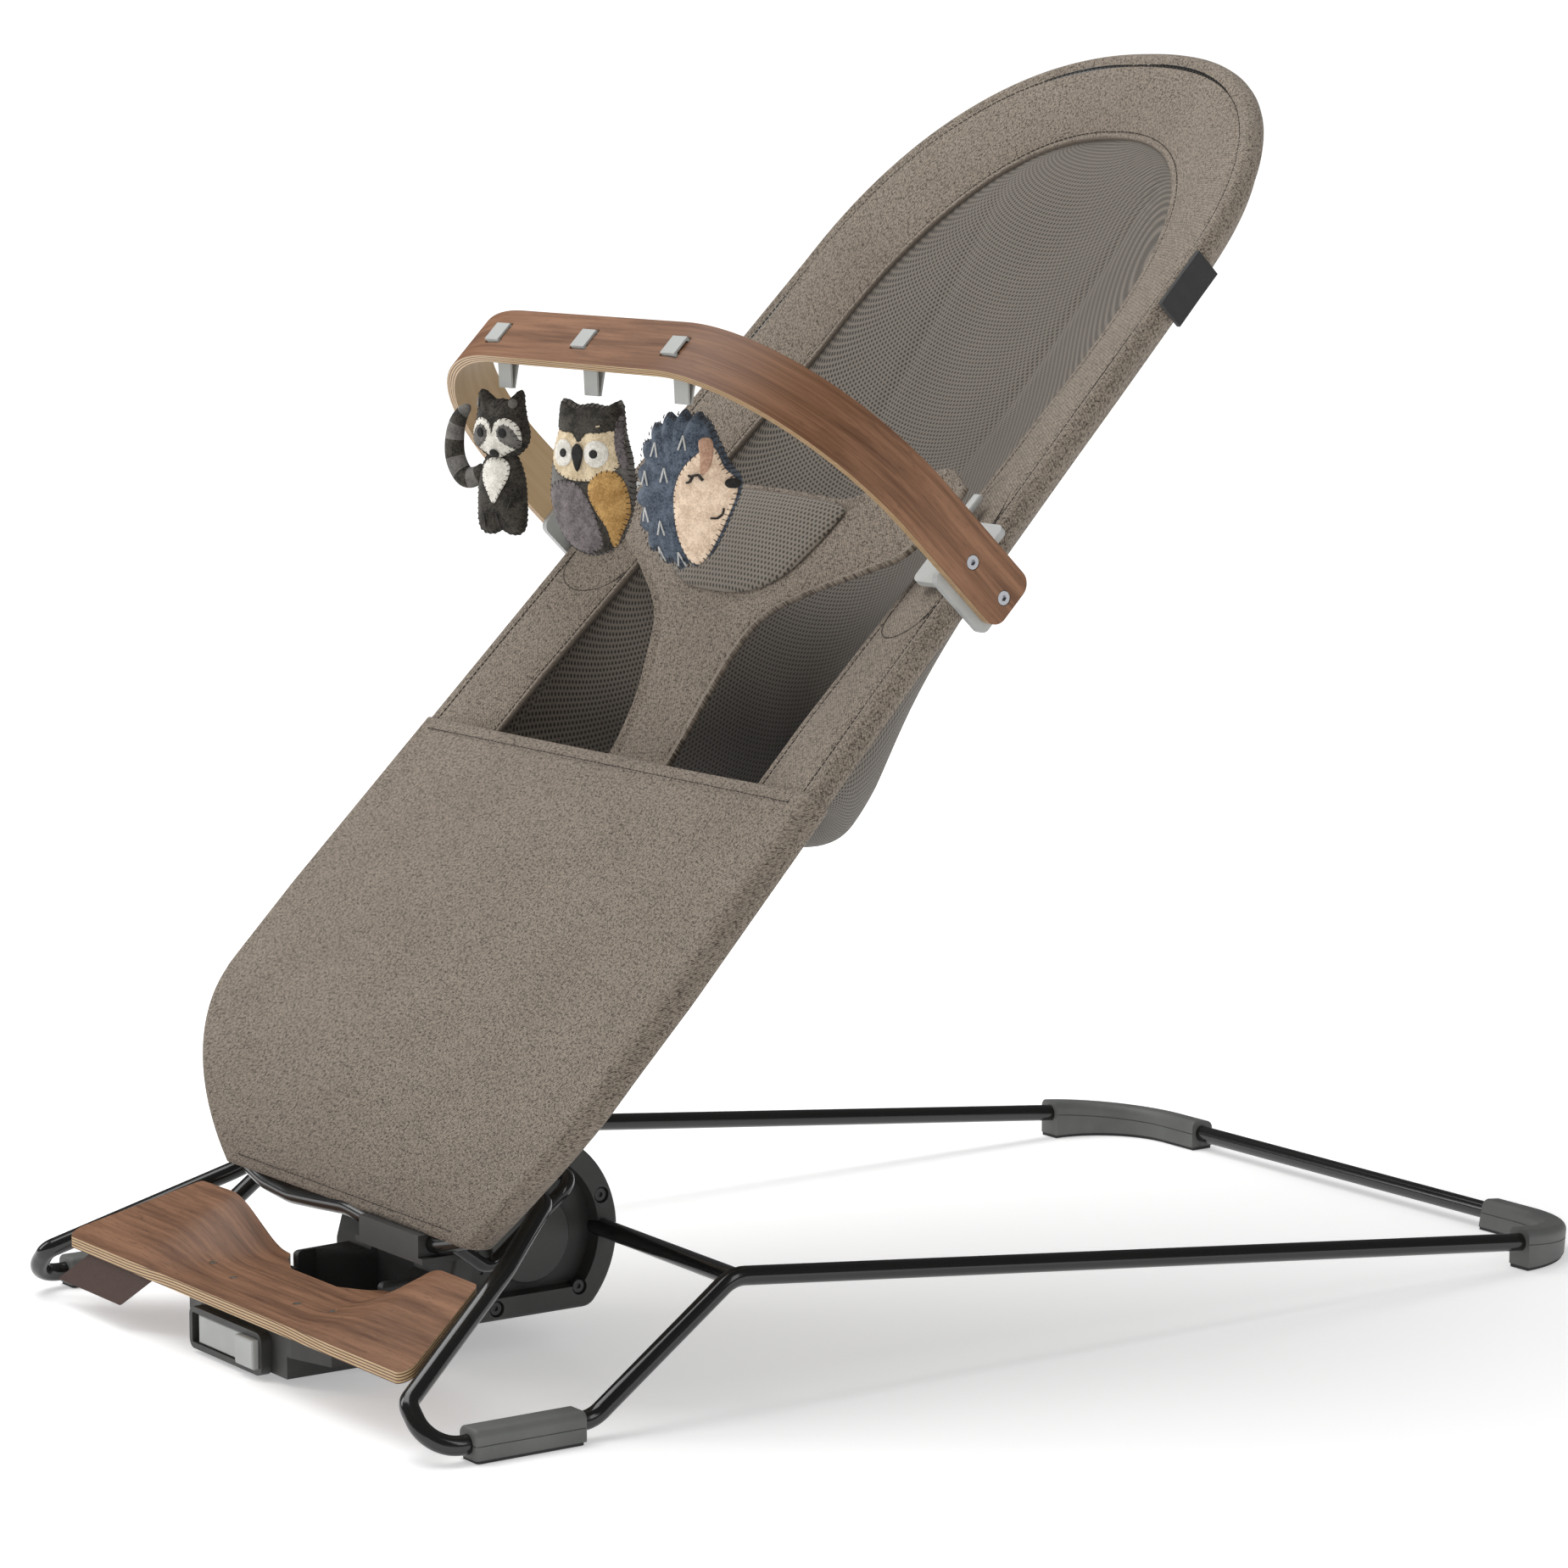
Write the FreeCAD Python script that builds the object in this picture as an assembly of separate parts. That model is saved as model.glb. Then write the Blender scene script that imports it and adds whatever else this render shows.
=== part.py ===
import FreeCAD, Part
import math
import os

# Baby bouncer seat: a bent steel tube base, a hub and footboard at its front, a hooped fabric seat
# that tips on the front cross bar, and a plywood toy bar with three felt toys.
# Millimetres. +X is the side shown nearest in the usual view, +Y runs to the head end, +Z is up.
# Heights start at the floor and lengths at the front feet; everything is centred in Y as it is saved.
V = FreeCAD.Vector
os.makedirs("parts", exist_ok=True)

# ---------------------------------------------------------------- driving sizes
tube_r = 5.0            # steel tube of base and seat hoop
tube_wall = 1.4
thin_r = 3.7            # thinner loop that carries the seat
fit_slip = 0.08         # gap round a tube in a moulded part
fit_run = 0.05          # running clearance of a turning bore
gap = 0.3               # gap between separate pieces that only lie together
rail_x = 215.0          # side rails, from the centre line
rear_y = 746.0          # rear cross bar
rear_z = 9.6
rear_bend = 55.0        # corner radius of the rear loop
knee_y = 155.0          # where each rail bends down to its front foot
knee_z = 70.4
foot_y = 71.7           # where each leg meets its foot run
foot_z = 10.0
foot_len = 64.0
foot_w = 17.0
foot_top = 17.0
sole = 1.8
pivot_y = 108.0         # front cross bar, on which the seat tips
pivot_z = 96.0
pivot_bend_x = 115.0
hub_y = 130.0           # hub drum
hub_z = 62.0
hub_r = 57.0
hub_half = 50.0         # half width without the side covers
cover_t = 10.0
hub_floor = 21.0
board_t = 6.0           # footboard plywood
board_front = -15.6
board_z = 38.1          # top of its front edge
board_rear = 50.6
board_half = 183.8
lean = math.radians(45.7)   # slope of the seat
seat_y = 118.0          # seat line origin
seat_z = 188.5
bend_s = -18.6          # where the seat starts to curve down to its hem
bend_r = 153.0
hem_s = -126.0
head_s = 680.0          # top of the fabric
brow_s = 513.0          # where the straight sides turn into the rounded head
brow_pow = 2.3
wide = 199.1            # half width of the seat at s = 0
taper = 0.0494          # narrowing towards the head
inset = 9.0             # hoop centre line inside the fabric's edge
pocket_s = 155.0        # top edge of the leg cover
sleeve_t = 6.8          # half thickness of the padded border
cover_half = 8.0        # half thickness of the leg cover
sling_deep = 72.0       # depth of the mesh seat at the hips
back_deep = 43.0        # and behind the back
bar_t = 5.5             # toy bar plywood
bar_wide = 33.0
bar_s = 304.5           # middle of the toy bar along the seat
bar_half = 195.5
bar_top = 172.0
bar_bend = 115.0
bar_low = -19.0
toy_pitch = 86.4
toy_t = 20.0
toy_turn = 22.0         # the toys hang turned a little to the right
mid_y = ((rear_y + 8.0) + (-21.0 - tube_r - 0.4)) / 2


def save(name, shape):
    """writes one piece, moved so that the object is centred in Y"""
    out = shape.copy()
    out.translate(V(0, -mid_y, 0))
    out.exportStep("parts/" + name + ".step")


def flip(shape):
    """the same piece on the other side of the centre line"""
    return shape.mirror(V(0, 0, 0), V(1, 0, 0))


def both(name, shape):
    save(name + "_right", shape)
    save(name + "_left", flip(shape))


def one(shape):
    """the single solid of a result"""
    solids = sorted(shape.Solids, key=lambda s: -s.Volume)
    return solids[0] if len(solids) == 1 else Part.makeCompound(solids)


def bent(points, radii):
    """straight runs joined by tangent arcs"""
    edges = []
    start = points[0]
    for before, corner, after, r in zip(points, points[1:], points[2:], radii):
        u = (before - corner).normalize()
        w = (after - corner).normalize()
        half = u.getAngle(w) / 2
        a = corner + u * (r / math.tan(half))
        b = corner + w * (r / math.tan(half))
        centre = corner + (u + w).normalize() * (r / math.sin(half))
        mid = centre + (corner - centre).normalize() * r
        if (a - start).Length > 0.01:
            edges.append(Part.makeLine(start, a))
        edges.append(Part.Arc(a, mid, b).toShape())
        start = b
    if (points[-1] - start).Length > 0.01:
        edges.append(Part.makeLine(start, points[-1]))
    return Part.Wire(edges)


def spline(points):
    curve = Part.BSplineCurve()
    curve.interpolate(points)
    return Part.Wire([curve.toShape()])


def rod(wire, r):
    """round bar along a wire"""
    first = wire.OrderedEdges[0]
    p = first.valueAt(first.FirstParameter)
    t = first.tangentAt(first.FirstParameter)
    ring = Part.Wire([Part.makeCircle(r, p, t)])
    return one(wire.makePipeShell([ring], True, False))


def tube(wire, r, wall=tube_wall):
    return one(rod(wire, r).cut(rod(wire, r - wall)))


def box(x0, x1, y0, y1, z0, z1):
    return Part.makeBox(x1 - x0, y1 - y0, z1 - z0, V(x0, y0, z0))


def cyl_x(r, x0, x1, y, z):
    return Part.makeCylinder(r, x1 - x0, V(x0, y, z), V(1, 0, 0))


def prism(points, lift):
    """flat polygon pushed along a vector"""
    return Part.Face(Part.makePolygon(points + [points[0]])).extrude(lift)


def rounded(face, r):
    """all outer corners of a flat face rounded"""
    return face.makeOffset2D(-r).makeOffset2D(r)


def soften(shape, r, pick):
    """fillet on the picked edges, the plain shape where it doesn't take"""
    try:
        done = shape.makeFillet(r, [e for e in shape.Edges if pick(e)])
        if done.isValid() and done.Volume > 0.5 * shape.Volume:
            return done
    except Exception:
        pass
    return shape


def along(axis):
    """picks straight edges parallel to an axis"""
    def pick(edge):
        if not isinstance(edge.Curve, Part.Line):
            return False
        return abs(edge.tangentAt(edge.FirstParameter).dot(axis)) > 0.999
    return pick


def slab(front, back, us, vs):
    """closed body between two smooth surfaces given as functions of u and v"""
    faces = []
    sheets = []
    for f in (front, back):
        surf = Part.BSplineSurface()
        surf.interpolate([[f(u, v) for v in vs] for u in us])
        sheets.append(surf)
        faces.append(surf.toShape())
    for k in range(4):
        pair = []
        for surf in sheets:
            u0, u1, v0, v1 = surf.bounds()
            if k < 2:
                pair.append(surf.uIso((u0, u1)[k]).toShape())
            else:
                pair.append(surf.vIso((v0, v1)[k - 2]).toShape())
        faces.append(Part.makeRuledSurface(pair[0], pair[1]))
    shell = Part.makeShell(faces)
    shell.sewShape(0.01)
    solid = Part.makeSolid(Part.Shell(shell.Faces))
    if solid.Volume < 0:
        solid.reverse()
    return solid


def steps(a, b, n):
    return [a + (b - a) * i / (n - 1) for i in range(n)]


# ---------------------------------------------------------------- base tubes
def rail_height(y):
    return knee_z + (rear_z - knee_z) * (y - knee_y) / (rear_y - knee_y)


rear_join = 600.0
knee_join = 200.0
rear_path = bent([V(rail_x, rear_join, rail_height(rear_join)), V(rail_x, rear_y, rear_z),
                  V(-rail_x, rear_y, rear_z), V(-rail_x, rear_join, rail_height(rear_join))],
                 [rear_bend, rear_bend])
save("rear_bar", tube(rear_path, tube_r))
rail_path = bent([V(rail_x, knee_join, rail_height(knee_join)),
                  V(rail_x, rear_join, rail_height(rear_join))], [])
both("rail", tube(rail_path, tube_r))

# knee, leg, foot run, hairpin and arm are one bent tube up to the cross bar
arm_mid = V(141.0, 68.0, 71.0)
arm_end = 90.0
leg_path = bent([V(rail_x, knee_join, rail_height(knee_join)), V(rail_x, knee_y, knee_z),
                 V(rail_x, foot_y, foot_z), V(rail_x, -21.0, 8.4), V(194.0, -21.0, 27.5),
                 arm_mid, V(pivot_bend_x, pivot_y, pivot_z), V(arm_end, pivot_y, pivot_z)],
                [20.0, 20.0, 18.0, 8.5, 90.0, 12.0])
leg_bar = rod(leg_path, tube_r)
both("leg", tube(leg_path, tube_r))
save("front_bar", cyl_x(tube_r, -arm_end, arm_end, pivot_y, pivot_z))

stub_in = V(44.0, 180.0, 61.5)
stub_path = bent([stub_in, V(rail_x, knee_y + 1.5, knee_z - 0.9)], [])
stub_bar = rod(stub_path, tube_r)
both("stub", one(stub_bar.cut(leg_bar).cut(rod(stub_path, tube_r - tube_wall))))

# ---------------------------------------------------------------- feet
groove = 0.5
front_foot = box(rail_x - foot_w / 2, rail_x + foot_w / 2, 0, foot_len, sole, foot_top)
front_foot = soften(front_foot, 4.0, lambda e: along(V(0, 1, 0))(e) and e.BoundBox.ZMin > 10)
front_foot = soften(front_foot, 2.0, lambda e: along(V(0, 0, 1))(e))
front_foot = front_foot.cut(rod(leg_path, tube_r + fit_slip))
band = box(rail_x - foot_w, rail_x + foot_w, -5, foot_len + 5, 8.6, 8.6 + groove)
core = box(rail_x - foot_w / 2 + groove, rail_x + foot_w / 2 - groove, groove,
           foot_len - groove, 5, 14)
both("front_foot", one(front_foot.cut(band.cut(core))))
front_sole = box(rail_x - foot_w / 2 + 1, rail_x + foot_w / 2 - 1, 1.2, foot_len - 1.2, 0, sole)
both("front_sole", soften(front_sole, 2.0, along(V(0, 0, 1))))

pad_start = 690.0
pad_path = bent([V(rail_x, pad_start, rail_height(pad_start)), V(rail_x, rear_y, rear_z),
                 V(131.6, rear_y, rear_z)], [rear_bend])


def pad_section(half, low, high, r):
    """arch-topped section standing across the start of the rear corner"""
    y = pad_start
    z = rail_height(pad_start)
    pts = [V(rail_x - half, y, z + low), V(rail_x - half, y, z + high - r),
           V(rail_x - half + r, y, z + high), V(rail_x + half - r, y, z + high),
           V(rail_x + half, y, z + high - r), V(rail_x + half, y, z + low)]
    c = r * (1 - math.sqrt(0.5))
    left = Part.Arc(pts[1], V(rail_x - half + c, y, z + high - c), pts[2]).toShape()
    right = Part.Arc(pts[3], V(rail_x + half - c, y, z + high - c), pts[4]).toShape()
    return Part.Wire([Part.makeLine(pts[0], pts[1]), left, Part.makeLine(pts[2], pts[3]),
                      right, Part.makeLine(pts[4], pts[5]), Part.makeLine(pts[5], pts[0])])


def pad_sweep(half, low, high, r):
    return one(pad_path.makePipeShell([pad_section(half, low, high, r)], True, False))


floor_cut = box(-300, 300, 600, 800, -40, sole)
rear_foot = pad_sweep(8.0, -22.0, 8.0, 4.5).cut(floor_cut)
rear_foot = rear_foot.cut(rod(rear_path, tube_r + fit_slip))
band = pad_sweep(9.5, -0.5, 0.0, 0.1).cut(pad_sweep(7.5, -1.5, 1.0, 0.1))
both("rear_foot", one(rear_foot.cut(band)))
sole_room = box(-300, 300, 600, 800, 0, sole)
both("rear_sole", one(pad_sweep(7.0, -22.0, 2.0, 0.5).common(sole_room)))

# ---------------------------------------------------------------- hub
def hub_face(x, shrink=0.0):
    """outline of the drum: a disc cut by a flat bottom and a leaning front"""
    disc = Part.Face(Part.Wire([Part.makeCircle(hub_r, V(x, hub_y, hub_z), V(1, 0, 0))]))
    keep = Part.Face(Part.makePolygon([V(x, 84, hub_floor), V(x, 84, 47), V(x, 105, 122),
                                       V(x, 200, 122), V(x, 200, hub_floor),
                                       V(x, 84, hub_floor)]))
    face = rounded(disc.common(keep).Faces[0], 9.0)
    return face.makeOffset2D(-shrink) if shrink else face


drum = Part.Face(hub_face(-hub_half).Wires[0]).extrude(V(2 * hub_half, 0, 0))
hollow = Part.Face(hub_face(-hub_half + 4, 4.0).Wires[0]).extrude(V(2 * hub_half - 8, 0, 0))
nose = prism([V(-47, board_rear + gap, 12), V(-hub_half, 92, 12), V(-hub_half, 100, 12),
              V(hub_half, 100, 12), V(hub_half, 92, 12), V(47, board_rear + gap, 12)], V(0, 0, 35))
nose = soften(nose, 3.0, lambda e: e.BoundBox.ZMin > 46)
recess = prism([V(-42, 40, 22), V(-42, 62, 22), V(-20, 87, 22), V(20, 87, 22), V(42, 62, 22),
                V(42, 40, 22)], V(0, 0, 40))
well_y = 69.0
well_r = 17.0
well = Part.makeCylinder(well_r, 8, V(0, well_y, 16))
housing = drum.fuse(nose.cut(box(-60, 60, 88, 120, 0, 60))).fuse(
    nose.common(box(-60, 60, 80, 98, 0, 60))).cut(hollow)
housing = housing.cut(recess).cut(well)
housing = housing.cut(cyl_x(tube_r + fit_slip, -70, 70, pivot_y, pivot_z))
for bar in (rod(stub_path, tube_r + fit_slip), flip(rod(stub_path, tube_r + fit_slip))):
    housing = housing.cut(bar)
cap_y = 136.5
cap_z = 61.0
cap_r = 24.0
for k in range(7):
    a = math.radians(128 + 13 * k)
    cut_y = cap_y + 31 * math.cos(a)
    cut_z = cap_z + 31 * math.sin(a)
    for side in (1, -1):
        notch = box(side * hub_half - 1.0, side * hub_half + 1.0, cut_y - 1, cut_y + 1,
                    cut_z - 3, cut_z + 3)
        housing = housing.cut(notch)
save("hub_housing", one(housing))
save("well_ring", Part.makeCylinder(well_r - gap / 2, 7, V(0, well_y, 16)).cut(
    Part.makeCylinder(13, 5.5, V(0, well_y, 18))))

cover = Part.Face(hub_face(hub_half).Wires[0]).extrude(V(cover_t, 0, 0))
cover = soften(cover, 2.0, lambda e: e.BoundBox.XMin > hub_half + cover_t - 0.01)
pocket = Part.Face(hub_face(hub_half - 1, 12.0).Wires[0]).extrude(V(cover_t + 2, 0, 0))
cover = cover.cut(pocket).cut(cyl_x(tube_r + fit_slip, 40, 80, pivot_y, pivot_z))
cover = cover.cut(rod(stub_path, tube_r + fit_slip))
screw_spots = [(177.0, 80.0), (163.0, 32.5), (112.0, 27.5)]
face_x = hub_half + cover_t
screws = []
for y, z in screw_spots:
    cover = cover.cut(cyl_x(4.4, face_x - 3.5, face_x + 1, y, z))
    cover = cover.cut(cyl_x(1.9, hub_half - 1, face_x, y, z))
    screw = cyl_x(3.4, face_x - 3.5, face_x - 1.2, y, z).fuse(
        cyl_x(1.7, hub_half + 0.5, face_x - 3.5, y, z))
    screws.append(screw.cut(cyl_x(1.4, face_x - 2.4, face_x, y, z)))
both("hub_cover", one(cover))
both("pivot_cap", soften(cyl_x(cap_r, hub_half + 0.02, hub_half + 4.5, cap_y, cap_z), 1.0,
                         lambda e: e.BoundBox.XMin > hub_half + 4))
save("hub_screws", Part.makeCompound(screws + [flip(s) for s in screws]))

# ---------------------------------------------------------------- footboard
def board_top(x, y):
    """flat in the middle, its two wings rising to the rear"""
    t = min(max((abs(x) - 50.0) / 62.0, 0.0), 1.0)
    wing = t * t * (3 - 2 * t)
    return board_z + (y - board_front) * (0.09 + 0.35 * wing)


xs = steps(-190, 190, 33)
ys = [-22.0, 20.0, 62.0]
ply = slab(lambda x, y: V(x, y, board_top(x, y)), lambda x, y: V(x, y, board_top(x, y) - board_t),
           xs, ys)
edge_r = 145.2
plan = Part.Face(Part.makePolygon([
    V(-board_half, board_front, 0), V(board_half, board_front, 0), V(edge_r, board_rear - 1.5, 0),
    V(48.7, board_rear, 0), V(42, 45, 0), V(24, 37, 0), V(-24, 37, 0), V(-42, 45, 0),
    V(-48.7, board_rear, 0), V(-edge_r, board_rear - 1.5, 0), V(-board_half, board_front, 0)]))
outline = rounded(plan, 6.0)
footboard = ply.common(outline.extrude(V(0, 0, 100)))
bolt_spots = [(sx * x, y) for sx in (1, -1) for x, y in ((34.0, 8.0), (64.0, 12.0))]
for x, y in bolt_spots:
    footboard = footboard.cut(Part.makeCylinder(2.2, 20, V(x, y, 25)))
save("footboard", one(footboard))

# saddle under the board, with the hand-hold wall and the bounce lock in its front
def under(x, y):
    return V(x, y, board_top(x, y) - board_t - 0.1)


wedge = slab(under, lambda x, y: V(x, y, 4.0), xs, ys)
keel = prism([V(-48, -4, 0), V(48, -4, 0), V(76, 4, 0), V(78, 34, 0), V(48, 50.5, 0),
              V(-48, 50.5, 0), V(-78, 34, 0), V(-76, 4, 0)], V(0, 0, 60))
saddle = wedge.common(keel)
saddle = saddle.cut(box(-100, -44, -10, 60, 0, 16)).cut(box(44, 100, -10, 60, 0, 16))
saddle = saddle.cut(prism([V(-42, 46, 22), V(-24, 38, 22), V(24, 38, 22), V(42, 46, 22),
                           V(42, 60, 22), V(-42, 60, 22)], V(0, 0, 60)))
rod_y0 = 6.0
rod_len = 36.0
lock_r = 3.0
saddle = saddle.cut(Part.makeCylinder(lock_r + fit_run, rod_len + 17, V(10, -5, 13), V(0, 1, 0)))
bolts = []
for x, y in bolt_spots:
    top = under(x, y).z
    saddle = saddle.cut(Part.makeCylinder(1.9, 12, V(x, y, top - 9)))
    bolts.append(Part.makeCylinder(1.8, board_t + 6, V(x, y, top - 6)))
save("saddle", one(saddle))
save("board_screws", Part.makeCompound(bolts))
save("lock_rod", Part.makeCylinder(lock_r, rod_len, V(10, rod_y0, 13), V(0, 1, 0)))

slide_x0 = -50.0
slide_x1 = 28.0
slide_wall = 3.2
slide_travel = 5.0
frame_y = -4.1
surround = box(slide_x0, slide_x1, frame_y - 6, frame_y, 2.5, 25)
surround = soften(surround, 5.0, along(V(0, 1, 0)))
window = box(slide_x0 + slide_wall, slide_x1 - slide_wall, frame_y - 7, frame_y - 1.5,
             2.5 + slide_wall, 25 - slide_wall)
window = soften(window, 0.9, along(V(0, 1, 0)))
save("lock_surround", one(surround.cut(window)))
knob_x0 = slide_x0 + slide_wall + slide_travel + gap
knob_x1 = slide_x1 - slide_wall - gap
knob_z0 = 2.5 + slide_wall + gap
knob_z1 = 25 - slide_wall - gap
knob = box(knob_x0, knob_x1, frame_y - 5.2, frame_y - 1.8, knob_z0, knob_z1)
knob = knob.fuse(box(knob_x1 - 19, knob_x1, frame_y - 9.5, frame_y - 5, knob_z0, knob_z1))
save("lock_slider", one(soften(knob.removeSplitter(), 1.2, lambda e: e.BoundBox.YMax < frame_y - 4.9)))

save("hub_base_plate", one(box(-42, 42, 53, 92, 8.8, 11.8)))

tag = prism([V(-157, -14, 31.6), V(-84, -14, 31.6), V(-110, -20, 13.5), V(-183, -20, 13.5)],
            V(0, 1.7, 0.5))
save("leather_tag", tag)

# ---------------------------------------------------------------- seat surface
cs = math.cos(lean)
sn = math.sin(lean)
bend_y = seat_y + bend_s * cs + bend_r * sn
bend_z = seat_z + bend_s * sn - bend_r * cs


def seat(x, s, n=0.0):
    """point of the seat: s runs up its length, n stands out of its front"""
    if s >= bend_s:
        return V(x, seat_y + s * cs - n * sn, seat_z + s * sn + n * cs)
    a = math.pi + lean + (bend_s - s) / bend_r
    return V(x, bend_y + (bend_r + n) * math.sin(a), bend_z - (bend_r + n) * math.cos(a))


def side(s, trim=0.0):
    """half width of the seat at s, drawn in by trim"""
    w = min(wide - taper * s, 197.5)
    if s > brow_s:
        a = wide - taper * brow_s - trim
        b = head_s - brow_s - trim
        return a * max(0.0, 1 - ((s - brow_s) / b) ** brow_pow) ** (1 / brow_pow)
    if s < -29.5:
        w = 197.0 - 75.5 * ((-29.5 - s) / 101.7) ** 1.75
    return w - trim


def arch(trim, low_s, count=13):
    """half outline in seat coordinates from low_s to the crown"""
    pts = [(side(s, trim), s) for s in steps(low_s, brow_s - 40, 4)]
    a = wide - taper * brow_s - trim
    b = head_s - brow_s - trim
    for k in range(1, count + 1):
        t = math.radians(90.0 * k / count)
        pts.append((a * math.cos(t) ** (2 / brow_pow) if k < count else 0.0,
                    brow_s + b * math.sin(t) ** (2 / brow_pow)))
    return pts


def loop_points(half, n=0.0):
    """both halves of an outline as points of the seat plane"""
    right = [seat(x, s, n) for x, s in half]
    left = [seat(-x, s, n) for x, s in reversed(half[:-1])]
    return right + left


hoop_join = 60.0
hoop_path = spline(loop_points(arch(inset, hoop_join)))
save("hoop_upper", tube(hoop_path, tube_r))

low_half = [(side(hoop_join, inset), hoop_join, 0), (side(0, inset), 5.0, 0),
            (side(-30, inset) - 0.5, -30, 0)]
low_half += [(side(s + 5, inset) - 2.5, s, 0.0) for s in (-55, -75, -93, -108)]
low_half += [(116, -123.5, 1.0), (90, -130.0, 2.5), (60, -132.0, 3.0), (28, -129.5, 3.0), (0, -127, 3.0)]
low_pts = [seat(x, s, n) for x, s, n in low_half]
low_pts += [V(-p.x, p.y, p.z) for p in reversed(low_pts[:-1])]
low_path = bent(low_pts, [60.0] * (len(low_pts) - 2))
low_bar = rod(low_path, tube_r)
save("hoop_lower", tube(low_path, tube_r))

# thinner loops from the seat's lower bend back to the knuckles on the front cross bar
knuckle_x0 = hub_half + cover_t + 1.0
knuckle_x1 = knuckle_x0 + 14.0
eye_y = pivot_y + 28.0
eye_z = pivot_z + 5.5
loop_path = bent([V(knuckle_x0 + 1, eye_y, eye_z), V(99, eye_y, eye_z), V(101, 82, 61.5),
                  V(104, 58, 79)], [12.0, 9.0])
loop_bar = rod(loop_path, thin_r)
loop = loop_bar.cut(low_bar)
both("seat_loop", max(loop.Solids, key=lambda s: s.Volume))
bush = cyl_x(tube_r + fit_run + 1.5, knuckle_x0, knuckle_x1, pivot_y, pivot_z).cut(
    cyl_x(tube_r + fit_run, knuckle_x0 - 1, knuckle_x1 + 1, pivot_y, pivot_z))
save("pivot_bushes", Part.makeCompound([bush, flip(bush)]))
bush_r = tube_r + fit_run + 1.5
knuckle = cyl_x(bush_r + 3.5, knuckle_x0, knuckle_x1, pivot_y, pivot_z)
knuckle = knuckle.fuse(cyl_x(thin_r + 3.3, knuckle_x0, knuckle_x1, eye_y, eye_z))
web = prism([V(knuckle_x0, pivot_y + 1, pivot_z + 9.5), V(knuckle_x0, eye_y, eye_z + 6),
             V(knuckle_x0, eye_y, eye_z - 6), V(knuckle_x0, pivot_y + 1, pivot_z - 9.5)],
            V(knuckle_x1 - knuckle_x0, 0, 0))
knuckle = knuckle.fuse(web).cut(loop_bar)
knuckle = knuckle.cut(cyl_x(bush_r + fit_run, knuckle_x0 - 1, knuckle_x1 + 1, pivot_y, pivot_z))
both("knuckle", one(knuckle))

bracket = box(26, 86, 49.5, 66, 65.5, 80)
bracket = bracket.fuse(box(22, 90, 49.5, 72, 65.5, 68.5))
bracket = soften(bracket.removeSplitter(), 1.5, along(V(1, 0, 0)))
bracket = bracket.cut(rod(low_path, tube_r + fit_slip)).cut(box(20, 95, 40, 70, 80, 90))
bracket = one(bracket)
b_screws = []
for x in (38.0, 74.0):
    bracket = bracket.cut(Part.makeCylinder(1.7, 5, V(x, 69.0, 64.5)))
    b_screws.append(Part.makeCylinder(1.6, 3.4, V(x, 69.0, 65.3)).fuse(
        Part.makeCylinder(2.6, 1.4, V(x, 69.0, 68.6))))
save("bracket", one(bracket))
save("bracket_screws", Part.makeCompound(b_screws))

# ---------------------------------------------------------------- fabric
push = seat(0, 0, 1) - seat(0, 0, 0)


def lofty(half, n0, n1):
    """outline of the seat plane pushed from n0 to n1"""
    pts = loop_points(half, n0)
    curve = Part.BSplineCurve()
    curve.interpolate(pts)
    face = Part.Face(Part.Wire([curve.toShape(), Part.makeLine(pts[-1], pts[0])]))
    return face.extrude(push * (n1 - n0))


def inner_arch(low_s):
    """inner edge of the border"""
    pts = [(133.0 - 0.03 * s, s) for s in steps(low_s, 430, 4)]
    for k in range(1, 8):
        t = math.radians(90.0 * k / 7)
        pts.append((118.9 * math.cos(t) ** (2 / brow_pow) if k < 7 else 0.0,
                    470 + 156 * math.sin(t) ** (2 / brow_pow)))
    return pts


border = lofty(arch(0.0, pocket_s + 0.6), -sleeve_t, sleeve_t)
border = border.cut(lofty(inner_arch(pocket_s - 20), -sleeve_t - 1, sleeve_t + 1))
border = border.cut(rod(hoop_path, tube_r + gap))
save("border", one(border))


def wrap(n0, n1, s0, s1):
    """curved sheet of the lower seat between two offsets, over the full width"""
    def rim(n):
        a = seat(-205, s1, n)
        b = seat(-205, bend_s, n)
        c = seat(-205, (bend_s + s0) / 2, n)
        d = seat(-205, s0, n)
        return [Part.makeLine(a, b), Part.Arc(b, c, d).toShape()], a, d
    top, a0, d0 = rim(n1)
    low, a1, d1 = rim(n0)
    wire = Part.Wire(Part.__sortEdges__(top + low + [Part.makeLine(a0, a1), Part.makeLine(d0, d1)]))
    return Part.Face(wire).extrude(V(410, 0, 0))


def front_view(trim, s0, s1):
    """outline of the lower seat seen from the front, pushed through it"""
    half = [(side(s, trim), s) for s in steps(s0, -32, 6) + [0.0, 60.0, s1]]
    pts = [V(x, 0, seat(0, s).z) for x, s in half]
    right = Part.BSplineCurve()
    right.interpolate(pts)
    left = Part.BSplineCurve()
    left.interpolate([V(-p.x, p.y, p.z) for p in pts])
    wire = Part.Wire(Part.__sortEdges__([right.toShape(), left.toShape(),
                                         Part.makeLine(pts[0], V(-pts[0].x, 0, pts[0].z)),
                                         Part.makeLine(pts[-1], V(-pts[-1].x, 0, pts[-1].z))]))
    return Part.Face(wire).extrude(V(0, 400, 0))


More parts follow.
